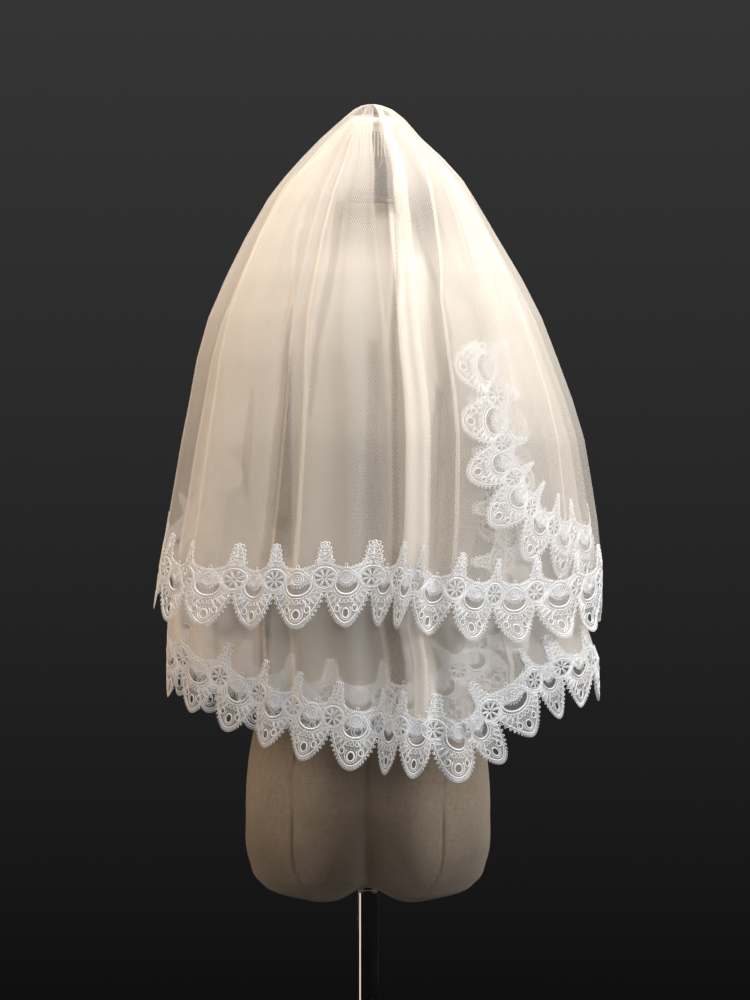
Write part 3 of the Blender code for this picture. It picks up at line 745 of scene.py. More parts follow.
# %% Density across the cloth
# hem angle, share of thread
UPPER_DENSITY = np.array([
    (-180, 0.41), (-120, 0.46), (-100, 0.46), (-88, 0.41), (-73, 0.46), (-54, 0.50), (-45, 0.46),
    (-34, 0.44), (-27, 0.45), (-21.4, 0.50), (-19, 0.51), (-10, 0.48), (-4, 0.43), (0, 0.44),
    (5, 0.50), (11, 0.49), (16, 0.47), (21, 0.50), (29, 0.49), (38, 0.53), (46, 0.48), (55, 0.49),
    (68, 0.38), (81, 0.40), (94, 0.40), (106, 0.46), (150, 0.46), (180, 0.41),
])
LOWER_DENSITY = np.array([
    (-180, 0.42), (-120, 0.50), (-90, 0.62), (-60, 0.68), (-46, 0.72), (-36, 0.64), (-31, 0.50),
    (-24, 0.38), (-18, 0.44), (-8, 0.38), (3, 0.36), (7, 0.34), (9, 0.56), (12, 0.50), (16, 0.38),
    (24, 0.38), (34, 0.48), (46, 0.60), (60, 0.65), (90, 0.60), (150, 0.46), (180, 0.42),
])

# A fold line is (drop, plan angle of its left side, of its right side) rows, how much thread it
# adds, and how soft its sides are in degrees. Negative lines are gaps between folds, and the
# first is the parting at the comb, which both tiers share.
UPPER_LINES = [
    ([
        (0.020, 1.2, 15), (0.033, 1.3, 16.0), (0.066, 1.2, 15.6), (0.103, 1.4, 13.0),
        (0.136, 1.8, 13.0), (0.142, 2.4, 12.6),
    ], -0.37, 0.6),
    ([
        (0.010, -3.0, 0.6), (0.066, -0.3, 1.1), (0.139, 1.0, 1.8), (0.292, 2.8, 3.8),
        (0.376, 1.6, 2.4),
    ], 0.22, 0.6),
    ([
        (0.025, 15.6, 19.0), (0.065, 16.0, 17.7), (0.098, 16.4, 17.6), (0.146, 17.6, 18.6),
    ], 0.22, 0.7),
    ([
        (0.140, -17.6, -13.0), (0.206, -16.8, -13.7), (0.267, -18.4, -15.3), (0.303, -19.0, -17.2),
        (0.390, -20.4, -19.6),
    ], -0.34, 0.6),
    ([
        (0.270, -28.8, -27.8), (0.309, -29.7, -27.4), (0.375, -30.6, -26.5), (0.411, -31.4, -25.8),
        (0.495, -31.2, -24.2), (0.560, -31.3, -22.6),
    ], -0.46, 0.5),
    ([
        (0.369, -40.6, -39.4), (0.411, -41.2, -38.4), (0.459, -41.0, -37.8), (0.483, -39.1, -37.7),
    ], -0.30, 0.5),
    ([
        (0.310, -2.2, 0.9), (0.412, -3.9, -1.2), (0.495, -4.5, -0.7), (0.566, -4.4, -0.5),
    ], -0.23, 1.0),
    ([(0.150, 11.0, 13.3), (0.292, 5.1, 6.8), (0.412, 2.8, 4.1), (0.566, 3.0, 4.3)], -0.30, 0.4),
    ([(0.206, 10.6, 20.6), (0.292, 8.9, 16.5), (0.412, 6.6, 12.2), (0.566, 6.5, 11.2)], 0.18, 0.8),
    ([(0.150, 9.4, 10.6), (0.292, 4.0, 4.8), (0.412, 1.9, 2.6), (0.566, 2.1, 2.8)], 0.20, 0.5),
    ([
        (0.364, 16.7, 18.8), (0.412, 13.4, 17.1), (0.495, 11.8, 15.5), (0.566, 11.7, 14.2),
    ], -0.35, 0.5),
    ([
        (0.153, 19.8, 22.9), (0.212, 21.6, 24.1), (0.255, 22.5, 24.8), (0.297, 23.2, 25.0),
        (0.376, 18.9, 20.1), (0.459, 15.8, 17.0),
    ], -0.16, 0.8),
    ([
        (0.106, 59.2, 63.4), (0.156, 61.8, 65.5), (0.223, 62.0, 64.9), (0.301, 58.4, 60.4),
    ], 0.16, 1.0),
    ([
        (0.063, -48.0, -42.1), (0.100, -60.8, -56.7), (0.163, -59.6, -56.7), (0.213, -58.7, -56.3),
        (0.250, -59.7, -57.4),
    ], 0.16, 1.0),
    ([
        (0.139, -37.6, -35.1), (0.185, -35.4, -33.3), (0.254, -30.0, -28.4), (0.303, -28.1, -27.0),
    ], 0.16, 0.9),
    ([(0.285, -20.8, -20.1), (0.388, -21.2, -20.4)], 0.20, 0.4),
    ([(0.375, 31.4, 33.5), (0.459, 30.1, 32.0), (0.519, 29.5, 31.3)], -0.14, 0.8),
]
LOWER_LINES = [
    UPPER_LINES[0],
    ([(0.520, -30.0, -26.5), (0.600, -31.0, -27.0), (0.740, -33.5, -31.0)], -0.24, 0.8),
    ([(0.309, -29.7, -27.4), (0.411, -31.4, -25.8), (0.520, -31.2, -23.4)], -0.26, 0.6),
    ([(0.560, -23.6, -22.6), (0.640, -23.2, -22.2), (0.760, -22.8, -21.6)], 0.26, 0.4),
    ([(0.580, -49.0, -46.6), (0.700, -47.6, -45.6)], -0.10, 0.8),
    ([(0.560, 0.9, 1.8), (0.780, 1.0, 1.9)], 0.26, 0.3),
    ([(0.560, 2.1, 5.5), (0.680, 2.3, 5.7), (0.780, 2.5, 5.7)], -0.30, 0.4),
    ([(0.560, 5.9, 8.0), (0.700, 6.0, 7.8)], 0.20, 0.4),
]


def plan_angle(hem_angle, drop):
    """Plan angle of a strand, brought into -180 to 180 degrees."""
    return (turned_angle(hem_angle, drop) + 180) % 360 - 180


def soft_step(x, half):
    """The logistic curve: 0 far to the left of zero, 1 far to its right."""
    return 1 / (1 + np.exp(-x / half))


def drawn_lines(lines, tier, c, d):
    """Sum of soft-edged bands, each fading within 12 mm past its ends."""
    angle, total = plan_angle(tier.hem_angle(c), d), np.zeros(np.shape(d))
    for rows, gain, soft in lines:
        drop, left, right = np.array(rows).T
        sides = (angle - np.interp(d, drop, side) for side in (left, right))
        near, far = (soft_step(past, soft * 0.4) for past in sides)
        ends = np.interp(d, (drop[0] - 0.012, drop[0], drop[-1], drop[-1] + 0.012), (0, 1, 1, 0))
        total = total + gain * (near - far) * ends
    return np.where(c < tier.fold_c, total, 0.0)


LINE_GAIN = 1.9
# drop, and how the thread's share changes on the way down from the comb
FALL = ((0.0, 0.06, 0.12, 0.20, 0.28, 0.45), (0.92, 1.08, 1.20, 1.24, 1.14, 0.78))


def density_at(table, lines, tier, c, d):
    """Table x lines x fall x patches. The parting under the comb, the cloth before the neck and
    the place where the turned lace shows are thinner, and the cloth over the shoulders is
    denser."""
    angle, outer, lower_tier = tier.hem_angle(c), c < tier.fold_c, tier.way < 0
    base = np.interp(angle, table[:, 0], table[:, 1])
    turned_under = 0.12 + 0.2 * base if lower_tier else 0.24 + 0.3 * base
    base = np.where(c > tier.fold_c, turned_under, base) * (1 + 0 * d)
    base = base * (1 + drawn_lines(lines, tier, c, d) * LINE_GAIN)
    fall = np.interp(d, *FALL) * (np.interp(d, (0.50, 0.66), (1.0, 1.62)) if lower_tier else 1.0)
    parted = hump(angle, 0.9, 3.2) * np.interp(d, (0.10, 0.145), (0.30, 0.0))
    neck = 0.46 * hump(angle, 4, 24, 4) * hump(d, 0.145, 0.045)
    shows = np.where(outer, 0.34 * hump(angle, 40, 24, 4) * hump(d, 0.50, 0.12, 4), 0.0)
    shoulder = 0.24 * hump(angle, -2, 26, 4) * hump(d, 0.235, 0.055)
    patches = (1 - parted) * (1 - neck) * (1 - shows) * (1 + shoulder)
    return np.clip(base * fall * patches, 0, 0.96)


# %% [markdown]
# ## The tulle sheets
# Each tier is one sheet. Its rows run from the comb to just under the lace, and its columns
# follow the walk, pleats included. Fine gathers ripple out from the comb and fade within a hand's
# width. At the top the upper tier closes in over the comb. A cloth simulation could drape such a
# sheet, but it would not put the folds where the photograph has them, so they are listed one by
# one.


# %% Lay a tier's tulle
def ripple(cloth, d):
    """Fine gathers = waves along the cloth that fade with the drop, with a slow soft billow."""
    fine = np.sin(cloth * 560) * 0.55 + np.sin(cloth * 351 + 1.3) * 0.45
    soft = np.sin(cloth * 47 + d * 3.1) * 0.6 + np.sin(cloth * 83 - d * 5.3 + 0.7) * 0.4
    fading, growing = np.exp(-d / 0.10), np.interp(d, (0.05, 0.35), (0, 1))
    return 0.00042 * fine * fading + 0.0008 * soft * growing


def lower_edge(tier, c, depth):
    """Drop at which the tulle ends, a given depth in from the scallop tips."""
    seam = tier.on_edge(tier.edge["run"], depth)
    seam = seam[np.argsort(seam[:, 0], kind="stable")]
    seam = seam[seam[:, 1] > LACE_FROM_DROP + 0.06]
    return np.interp(c, seam[:, 0], seam[:, 1])


COLUMN_STEP = 0.0030
ROWS = 96


def close_crown(points, dense, d):
    """A low cap: four rings from the first row in to the apex, falling with their square."""
    inward = np.array([0.06, 0.3, 0.55, 0.8])
    ring, middle = points[:, :1], np.array([0.005, 0.0, APEX_Z - 0.0015])
    cap = middle + (ring - middle) * inward[None, :, None]
    cap[..., 2] = APEX_Z - 0.0005 - (APEX_Z - 0.0005 - ring[..., 2]) * inward[None] ** 2
    drops, shares = np.ones((len(points), 1)) * d[:1, :1] * inward, np.full((len(points), 4), 0.55)
    pairs = ((cap, points), (shares, dense), (drops, d))
    return [np.concatenate(pair, axis=1) for pair in pairs]


def tulle_sheet(name, node, tier, pleats, table, lines, crown):
    """Rows = even steps of share ^ 1.25 from the comb to the lace; columns follow the walk."""
    margin = LACE_DEPTH - 0.012
    c, lift, cloth = walk(tier, pleats, margin, tier.length - margin, COLUMN_STEP)
    bottom = lower_edge(tier, c, LACE_DEPTH - 0.010)
    d = tier.top_drop + (bottom[:, None] - tier.top_drop) * np.linspace(0, 1, ROWS) ** 1.25
    wide = c[:, None] + 0 * d
    held = np.interp(d, (0.0, 0.05, 0.2), (0.2, 0.4, 1.0))
    points = tier.at(wide, d, lift[:, None] * held + ripple(cloth[:, None], d))
    dense = density_at(table, lines, tier, wide, d)
    if crown:
        points, dense, d = close_crown(points, dense, d)
    rows, columns = points.shape[:2]
    uv = np.stack([np.repeat(cloth[:, None], columns, axis=1), d], axis=-1) / 2
    quads = grid_quads(rows, columns)[:, ::int(tier.way)]
    shares = {"thread_share": dense}
    made = piece(name, points.reshape(-1, 3), quads, tulle, uv.reshape(-1, 2), shares)
    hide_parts(node, node + "_turned")
    cut = float(cloth[-1] + 2 * margin)
    area = float(np.sum((bottom[1:] + bottom[:-1]) / 2 * np.diff(cloth)))
    print(name, "cloth", round(cut, 3), "m wide, flat area", round(area, 3))
    return made, cut


upper_sheet, upper_wide = tulle_sheet(
    "upper_tier_tulle", "upper_tulle", upper, UPPER_PLEATS, UPPER_DENSITY, UPPER_LINES, True,
)
lower_sheet, lower_wide = tulle_sheet(
    "lower_tier_tulle", "lower_tulle", lower, LOWER_PLEATS, LOWER_DENSITY, LOWER_LINES, False,
)

# %% [markdown]
# ## The lace, charted on paper
# A lace edging repeats one scallop. Its cords are drawn here as a chart in millimetres: x along
# the edge from the middle of the scallop, v in from its tip. Three eyelets stand near the tip,
# and above them loops and bars fan out from the rope round a half-moon opening. A ringed spiral
# sits over the opening, and a rosette stands between each pair of scallops with a rounded bud
# above it. A wavy cord runs along the top. The chart uses only arcs, teardrops and waves.


# %% Strokes of the chart
def arc(x, v, wide, high, start, stop, count):
    """Ellipse, in degrees from its outermost point."""
    a = np.radians(np.linspace(start, stop, count))
    return np.column_stack([x + wide * np.sin(a), v - high * np.cos(a)])


def teardrop(root, tip, wide, count=20):
    """Along = (1 - cos t) / 2 and side = wide x sin t x sin(t / 2), from root to tip and back."""
    root, tip = np.array(root, float), np.array(tip, float)
    t = np.linspace(0, 2 * np.pi, count)
    way = tip - root
    side = np.array([-way[1], way[0]]) / np.linalg.norm(way)
    along = (1 - np.cos(t)) / 2
    out = 0.62 * wide * np.sin(t) * np.sin(t / 2)
    return root + along[:, None] * way + out[:, None] * side


def bar(x0, v0, x1, v1):
    """A straight cord between two places."""
    return np.array([(x0, v0), (x1, v1)], float)


def spoke(angle, near, far, centre, squash=1.0):
    """A straight bar away from a centre, its angle in degrees from the outermost point."""
    s, c = np.sin(np.radians(angle)), np.cos(np.radians(angle))
    return np.array([(centre[0] + r * s, centre[1] - r * c * squash) for r in (near, far)])


HALF_PITCH = 31.25
SCALLOP_DEEP = 38
MOON, MOON_SQUASH, MOON_CHORD = (0.0, 50.0), 0.83, 50.3
SPIRAL = (0.0, 56.5)
ROSE = (HALF_PITCH, 57.0)
BUD_FOOT, BUD_HIGH = 71, 27.0
# x, v, half width, half height
EYELETS = [(0.0, 14.5, 4.5, 5.6), (-12.4, 20.2, 3.2, 4.0), (12.4, 20.2, 3.2, 4.0)]


def scallop(share, inward=0.0):
    """Outer edge: x = half pitch x share, v = 38 x share^1.95, moved in along its normal."""
    share = np.asarray(share, float)
    point = np.column_stack([HALF_PITCH * share, SCALLOP_DEEP * abs(share) ** 1.95])
    way = np.gradient(point, axis=0)
    normal = np.column_stack([-way[:, 1], way[:, 0]]) / np.linalg.norm(way, axis=1, keepdims=True)
    return point + normal * np.asarray(inward).reshape(-1, 1)


def bud_half(t):
    """Half width of a bud, wide at its foot and rounded at its top."""
    return (5.8 + 5.2 * (1 - t) ** 2) * np.sqrt(np.maximum(1 - t ** 5, 0))


def band_top(x):
    """The band's upper edge dips over the spirals and rises to the buds."""
    return 66.5 + 7.0 * np.sin(np.pi * x / (2 * HALF_PITCH)) ** 2


def wavy_cord(x):
    """The double cord over the opening: one wave a repeat, highest over the spiral."""
    return 54.3 + 11.9 * np.cos(2 * np.pi * x / (2 * HALF_PITCH))


def fan_spoke(angle, near, far):
    """A spoke of the fan, away from the middle of the half-moon."""
    return spoke(angle, near, far, MOON, MOON_SQUASH)


def fan_reach(angle, margin):
    """How far a spoke runs from the half-moon's centre before it is a margin short of the edge."""
    r = np.linspace(22, 62, 161)
    x, v = r * np.sin(np.radians(angle)), MOON[1] - r * MOON_SQUASH * np.cos(np.radians(angle))
    return float(r[v - SCALLOP_DEEP * (x / HALF_PITCH) ** 1.95 > margin].max())


# %% One repeat of the lace
def chart():
    """Strokes as (points, cord width, height) in millimetres, in the order of their drawing."""
    strokes = []

    def stroke(points, wide, high=0.55):
        strokes.append((np.asarray(points, float), wide, high))

    # the outer edge: a toothed picot line, a cord inside it and a row of picot loops
    teeth = 23
    share = np.linspace(-1, 1, teeth * 4 + 1)
    picots = 2.4 - 2.4 * abs(np.sin(np.pi * teeth * (share + 1) / 2)) ** 0.8
    stroke(scallop(share, picots), 1.15, 0.7)
    stroke(scallop(np.linspace(-1, 1, 33), np.full(33, 3.2)), 1.8, 0.9)
    roots = scallop(np.linspace(-0.97, 0.97, teeth), np.full(teeth, 1.4))
    for root, tip in zip(roots, roots + unit(roots - np.array([0.0, 40.0])) * 3.6):
        stroke(teardrop(root, tip, 2.6, 9), 0.75, 0.5)
    # eyelets near the tip, then loops and bars that fan out from the half-moon's rope
    for x, v, wide, high in EYELETS:
        stroke(arc(x, v, wide, high, 0, 360, 24), 1.9, 1.0)
    stroke(arc(0, 16.0, 7.6, 9.4, -128, 128, 30), 1.2, 0.7)
    for angle, begin in ((0, 25.5), (13, 26.0), (27, 29.5)):
        for side in ((1, -1) if angle else (1,)):
            stroke(teardrop(*fan_spoke(angle * side, 21.6, begin + 2.5), 4.6, 14), 1.2, 0.7)
    for angle, wide in ((41, 6.0), (56, 5.6), (71, 4.6)):
        far = fan_reach(angle, 6.0)
        for side in (1, -1):
            stroke(teardrop(*fan_spoke(angle * side, 21.6, far), wide, 20), 1.4, 0.8)
            stroke(teardrop(*fan_spoke(angle * side, 23.0, far - 2.5), wide * 0.40, 9), 0.8, 0.5)
    for angle in (20, 34, 48.5, 63.5, 78):
        for side in (1, -1):
            stroke(fan_spoke(angle * side, 21.0, fan_reach(angle, 4.6)), 1.1, 0.6)
    # the rope round the half-moon: two arcs, bound with short bars
    stroke(arc(*MOON, 16.2, 13.4, -104, 104, 34), 2.4, 1.2)
    stroke(arc(*MOON, 20.2, 16.8, -96, 96, 38), 1.9, 0.9)
    for angle in np.linspace(-90, 90, 23):
        stroke(fan_spoke(angle, 16.8, 20.0), 0.9, 0.5)
    # a spiral above the opening, with a fringe of small loops
    for wide, high, count, cord, rise in (
        (7.4, 7.0, 30, 1.7, 1.0), (4.7, 4.4, 22, 1.1, 0.8), (2.2, 2.1, 12, 1.1, 0.8),
    ):
        stroke(arc(*SPIRAL, wide, high, 0, 360, count), cord, rise)
    for angle in np.linspace(-72, 72, 9):
        stroke(teardrop(*spoke(angle, 8.0, 13.0, SPIRAL, 0.92), 2.0, 9), 0.85, 0.6)
    # the rosette between two scallops
    for wide, high, count, cord, rise in (
        (14.4, 12.6, 42, 2.0, 1.1), (12.2, 10.5, 34, 1.0, 0.6), (2.0, 1.8, 12, 1.3, 0.9),
    ):
        stroke(arc(*ROSE, wide, high, 0, 360, count), cord, rise)
    for angle in np.arange(22.5, 360, 45):
        stroke(teardrop(*spoke(angle, 2.0, 12.4, ROSE, 0.86), 1.9, 9), 1.5, 0.9)
    # the double wavy cord and its bars, then the wavy top with a cord under it
    x = np.linspace(-HALF_PITCH, HALF_PITCH, 44)
    for shift in (-1.8, 1.8):
        stroke(np.column_stack([x, wavy_cord(x) + shift]), 1.5, 0.9)
    for x0 in np.linspace(-30, 30, 25):
        stroke(bar(x0, wavy_cord(x0) - 1.5, x0, wavy_cord(x0) + 1.5), 0.9, 0.5)
    x = np.linspace(-HALF_PITCH, HALF_PITCH, 61)
    waves = 2.0 * abs(np.sin(np.pi * 15 * (x + HALF_PITCH) / (2 * HALF_PITCH)))
    stroke(np.column_stack([x, band_top(x) + waves]), 1.0, 0.6)
    stroke(np.column_stack([x[::3], band_top(x[::3]) - 0.5]), 1.4, 0.8)
    # leaves on both sides of the spiral and above it
    for side in (1, -1):
        stroke(teardrop((side * 8.4, 57.5), (side * 17.0, 66.0), 4.6, 16), 1.1, 0.7)
        stroke(teardrop((side * 15.0, 67.0), (side * 25.0, 76.0), 4.0, 14), 1.0, 0.6)
        stroke(teardrop((side * 15.0, 53.5), (side * 14.0, 60.5), 2.6, 12), 0.9, 0.6)
    stroke(teardrop((0, 66.5), (0, 73.0), 3.6, 14), 1.0, 0.6)
    # the bud above the rosette
    t = np.linspace(0, 1, 14)
    half = bud_half(t) - 0.6
    for side in (1, -1):
        stroke(np.column_stack([HALF_PITCH + side * half, BUD_FOOT + BUD_HIGH * t]), 1.3, 0.8)
        for low, reach in ((75.0, 11.4), (80.0, 8.8), (85.0, 8.4), (90.0, 7.6)):
            leaf = ((HALF_PITCH, low - 1.5), (HALF_PITCH + side * reach, low + 2.4))
            stroke(teardrop(*leaf, 3.8, 12), 1.2, 0.7)
    for lean in (-30, 0, 30):
        stroke(teardrop(*spoke(180 + lean, 0.5, 9.5, (HALF_PITCH, 90.5)), 4.2, 14), 1.2, 0.8)
    stroke(bar(HALF_PITCH, BUD_FOOT, HALF_PITCH, 92), 1.3, 0.8)
    return strokes


STROKES = chart()
print("lace chart", len(STROKES), "strokes,", sum(len(s[0]) for s in STROKES), "points a repeat")


# %% [markdown]
# ## Where the scallops fall
# The edging is eased round the tier, so its repeats are not all as wide. The hollows between the
# scallops that face the camera stand where the photograph shows them. One more falls on the line
# where the cloth turns under, and the others are spaced evenly between those and the ends.


# %% Space the repeats along an edge
def fold_run(tier):
    """Run along the edge at the fold = its nearest point within 50 mm of the hem there."""
    line = tier.edge["line"]
    low = line[:, 1] > tier.tip_drop(tier.fold_c) - 0.05
    return float(tier.edge["run"][np.argmin(np.where(low, abs(line[:, 0] - tier.fold_c), 9.0))])


# number of the hollow that falls on the line where a tier turns under
UPPER_ON_FOLD, LOWER_ON_FOLD = 21, 24
# number of a hollow along the edge, hem angle where the photograph shows it
UPPER_HOLLOWS = [
    (8, -56.9), (9, -39.0), (10, -26.1), (11, -12.7), (12, -2.0), (13, 3.0), (14, 6.8), (15, 17.4),
    (16, 29.3), (17, 43.4), (18, 62.0),
]
LOWER_HOLLOWS = [
    (10, 56.5), (11, 47.7), (12, 36.4), (13, 27.0), (14, 11.7), (15, 3.2), (16, -2.2), (17, -14.6),
    (18, -25.9), (19, -36.9), (20, -50.5),
]


def lace_hollows(tier, seen, on_fold):
    """Run along the edge at each hollow = straight lines through the ends, the seen ones and the
    one on the fold."""
    number, angle = np.array(seen, float).T
    edge = tier.edge
    total = round(edge["length"] / LACE_PITCH)
    run = np.interp(tier.outer_c(angle), edge["line"][:, 0], edge["run"])
    places = np.concatenate([[0], run, [fold_run(tier), edge["length"]]])
    return np.interp(np.arange(total + 1), np.concatenate([[0], number, [on_fold, total]]), places)


def every_repeat(tier, pleats, hollows, x, v, rise):
    """Chart (x, v) in mm -> run and depth along the edge -> flat cloth (c, d) -> the air, for
    all the repeats at once. The lace lies on the outside of the cloth and of its pleats."""
    run = hollows[:-1, None, None] + (x / (2 * HALF_PITCH) + 0.5) * np.diff(hollows)[:, None, None]
    spot = tier.on_edge(run, np.broadcast_to(v * 0.001, run.shape))
    c, d = np.clip(spot[..., 0], 0, tier.length), spot[..., 1]
    lift = 0.0004 + pleat_lift(tier, pleats, c)
    return tier.at(c, d, lift + rise).reshape(-1, 3), run, c, d


def every_quad(one, used, count, size):
    """The quads of one repeat, moved on by a repeat's size for each of the others."""
    return (one[None] + (used + np.arange(count) * size)[:, None, None]).reshape(-1, 4)


# %% [markdown]
# ## Carry the cords round the hem
# Each stroke of the chart becomes a cord with a diamond section: two sides on the cloth, a
# ridge above and one below. One pass over the strokes lays a stroke for all the repeats of a run
# at once, first flat, then hung on the tier.


# %% Lay a run of corded lace
def cord_section(stroke, cord, high):
    """Corners (n, 4, 2) of a cord's diamond section along a stroke, their heights in metres, and
    whether the stroke closes on itself."""
    closed = len(stroke) > 3 and np.allclose(stroke[0], stroke[-1], atol=1e-3)
    line = stroke[:-1] if closed else stroke
    if closed:
        way = np.roll(line, -1, axis=0) - np.roll(line, 1, axis=0)
    else:
        way = np.gradient(line, axis=0)
    side = np.column_stack([-way[:, 1], way[:, 0]])
    side /= np.maximum(np.linalg.norm(side, axis=1, keepdims=True), 1e-6)
    corners = np.stack([line + side * cord / 2, line, line - side * cord / 2, line], axis=1)
    return corners, np.array([0.0, high, 0.0, -0.3 * high]) * 0.001, closed


def cord_quads(n, closed):
    """Four sides along a cord. A closed cord joins its ends, and an open one has them capped."""
    one = grid_quads(n + (1 if closed else 0), 4, closed=True)
    if closed:
        return np.where(one >= n * 4, one - n * 4, one)
    return np.vstack([one, [[3, 2, 1, 0]], [[n * 4 - 4, n * 4 - 3, n * 4 - 2, n * 4 - 1]]])


def lace_cords(name, node, tier, pleats, hollows):
    """UV = length along the cord in metres, and share of the way round it."""
    count = len(hollows) - 1
    points, quads, uv, used = [], [], [], 0
    for stroke, cord, high in STROKES:
        corners, rise, closed = cord_section(stroke, cord, high)
        n = len(corners)
        x, v = corners[..., 0], corners[..., 1]
        points.append(every_repeat(tier, pleats, hollows, x, v, rise)[0])
        length = np.repeat(run_along(corners[:, 1])[:, None] * 0.001, 4, axis=1)
        around = np.tile([0.0, 0.25, 0.5, 0.75], (n, 1))
        uv.append(np.tile(np.stack([length, around], axis=-1).reshape(-1, 2), (count, 1)))
        one = cord_quads(n, closed)[:, ::int(tier.way)]
        quads.append(every_quad(one, used, count, n * 4))
        used += count * n * 4
    made = piece(name, np.vstack(points), np.vstack(quads), lace_cord, np.vstack(uv))
    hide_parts(node)
    return made


# %% [markdown]
# The ground is one net for each tier. In each repeat it runs from the chord of the half-moon and
# the underside of the wave up to the wavy top, a bud-shaped patch backs each bud, a thinner net
# with holes at the eyelets fills the fan between the opening and the outer edge, and the thinnest
# one lies in the opening. Where the lace is turned under, the net is fainter.


# %% Lay the lace's ground
BAND_SHARE, ROSE_SHARE, BUD_SHARE = 0.90, 0.18, 0.66
MOON_SHARE, FAN_SHARE, HOLE_SHARE = 0.20, 0.46, 0.08
# where the lower tier is turned under, and drop and share where the upper one is
LOWER_FAINT = 0.5
UPPER_FAINT = ((0.36, 0.47), (0.30, 1.0))


def net_patches():
    """Grids (x, v, share of thread) of one repeat: band, bud, fan and half-moon."""
    x = np.linspace(-HALF_PITCH, HALF_PITCH, 27)
    ease = np.clip((abs(x) - 14) / 9, 0, 1)
    low = MOON_CHORD - 9.5 * ease * ease * (3 - 2 * ease)
    band = low[:, None] + (band_top(x) + 0.8 - low)[:, None] * np.linspace(0, 1, 9)
    off_rose = np.hypot((abs(x)[:, None] - ROSE[0]) / 12.0, (band - ROSE[1]) / 10.3)
    t = np.linspace(0, 1, 9)
    bud_x = HALF_PITCH + np.maximum(bud_half(t), 0.2)[None] * np.linspace(-1, 1, 7)[:, None]
    bud_v = BUD_FOOT + BUD_HIGH * t[None] + 0 * bud_x
    fan_x = np.linspace(-0.93, 0.93, 43)
    edge = scallop(fan_x, np.full(43, 2.0))
    a = np.radians(fan_x * 98)
    rope = np.column_stack([MOON[0] + 18.6 * np.sin(a), MOON[1] - 15.4 * np.cos(a)])
    fan = edge[:, None] + (rope - edge)[:, None] * np.linspace(0, 1, 17)[None, :, None]
    holes = [
        np.hypot((fan[..., 0] - x0) / wide, (fan[..., 1] - v0) / high)
        for x0, v0, wide, high in EYELETS
    ]
    off_holes = np.clip((np.min(holes, axis=0) - 0.85) / 0.25, 0, 1)
    fan_share = HOLE_SHARE + (FAN_SHARE - HOLE_SHARE) * off_holes
    moon_x = np.linspace(-15.6, 15.6, 15)
    moon_low = MOON[1] - 13.2 * np.sqrt(1 - (moon_x / 16) ** 2)
    moon_v = moon_low[:, None] + (MOON_CHORD - moon_low)[:, None] * np.linspace(0, 1, 5)
    return [
        (np.repeat(x[:, None], 9, axis=1), band, np.where(off_rose < 1, ROSE_SHARE, BAND_SHARE)),
        (bud_x, bud_v, np.full(bud_x.shape, BUD_SHARE)),
        (fan[..., 0], fan[..., 1], fan_share),
        (np.repeat(moon_x[:, None], 5, axis=1), moon_v, np.full(moon_v.shape, MOON_SHARE)),
    ]


def lace_net(name, tier, pleats, hollows):
    """UV = run along the edge and depth, in units of 2 m, as the tulle's."""
    count = len(hollows) - 1
    points, quads, uv, dense, used = [], [], [], [], 0
    for x, v, share in net_patches():
        placed, run, c, d = every_repeat(tier, pleats, hollows, x, v, 0.0001)
        points.append(placed)
        depth = np.broadcast_to(v * 0.001, run.shape)
        uv.append((np.stack([run, depth], axis=-1) / 2).reshape(-1, 2))
        faint = LOWER_FAINT if tier.way < 0 else np.interp(d, *UPPER_FAINT)
        dense.append((share * np.where(c > tier.fold_c, faint, 1.0)).ravel())
        one = grid_quads(*x.shape)[:, ::int(tier.way)]
        quads.append(every_quad(one, used, count, x.size))
        used += count * x.size
    shares = {"thread_share": np.concatenate(dense)}
    made = piece(name, np.vstack(points), np.vstack(quads), lace_ground, np.vstack(uv), shares)
    return made


# %% Sew the lace on both tiers
PARTS = ("front", "back_one", "back_two", "turned")


def sew_lace(word, tier, pleats, seen, on_fold):
    """Four runs of cords, cut at hollows near the corner, half way on and the fold, and a net."""
    hollows = lace_hollows(tier, seen, on_fold)
    corner = tier.tip_drop(0) - LACE_FROM_DROP + 0.2
    turn = fold_run(tier)
    ends = (0, corner, (corner + turn) / 2, turn, hollows[-1])
    cuts = [int(np.argmin(abs(hollows - end))) for end in ends]
    made = []
    for part, begin, end in zip(PARTS, cuts, cuts[1:]):
        name, node, run = f"{word}_cords_{part}", f"{word}_lace_{part}", hollows[begin:end + 1]
        made.append(lace_cords(name, node, tier, pleats, run))
    return [*made, lace_net(f"{word}_lace_ground", tier, pleats, hollows)]


upper_lace = sew_lace("upper", upper, UPPER_PLEATS, UPPER_HOLLOWS, UPPER_ON_FOLD)
lower_lace = sew_lace("lower", lower, LOWER_PLEATS, LOWER_HOLLOWS, LOWER_ON_FOLD)

# %% [markdown]
# Each sheet's cut width and flat area are printed as it is laid. Both tiers are ovals, so their
# flat area is about four fifths of the rectangle round them.

# %% [markdown]
# ## The dress form
# The form is a padded body with no arms or head, covered in panels of linen. Its section is a
# rounded oval that changes with height, so it is a surface of angle and height. The panels meet
# at a centre seam and at princess seams, which are fine grooves, and the underside has two soft
# lobes with a saddle between them where the pole goes in.

# %% The form's measured rings
FORM_BOTTOM_Z = 0.637
SADDLE_RISE = 0.021
SADDLE_WIDTH = 0.030
SEAT_RADIUS = 0.020
SEAM_HALF = 0.0011
NECK_TOP_Z = 1.500
# height, and how far out across the half width the princess seams run there
PRINCESS = ((0.637, 0.68, 0.80, 1.0, 1.2, 1.32, 1.5), (0.52, 0.60, 0.62, 0.52, 0.56, 0.60, 0.45))
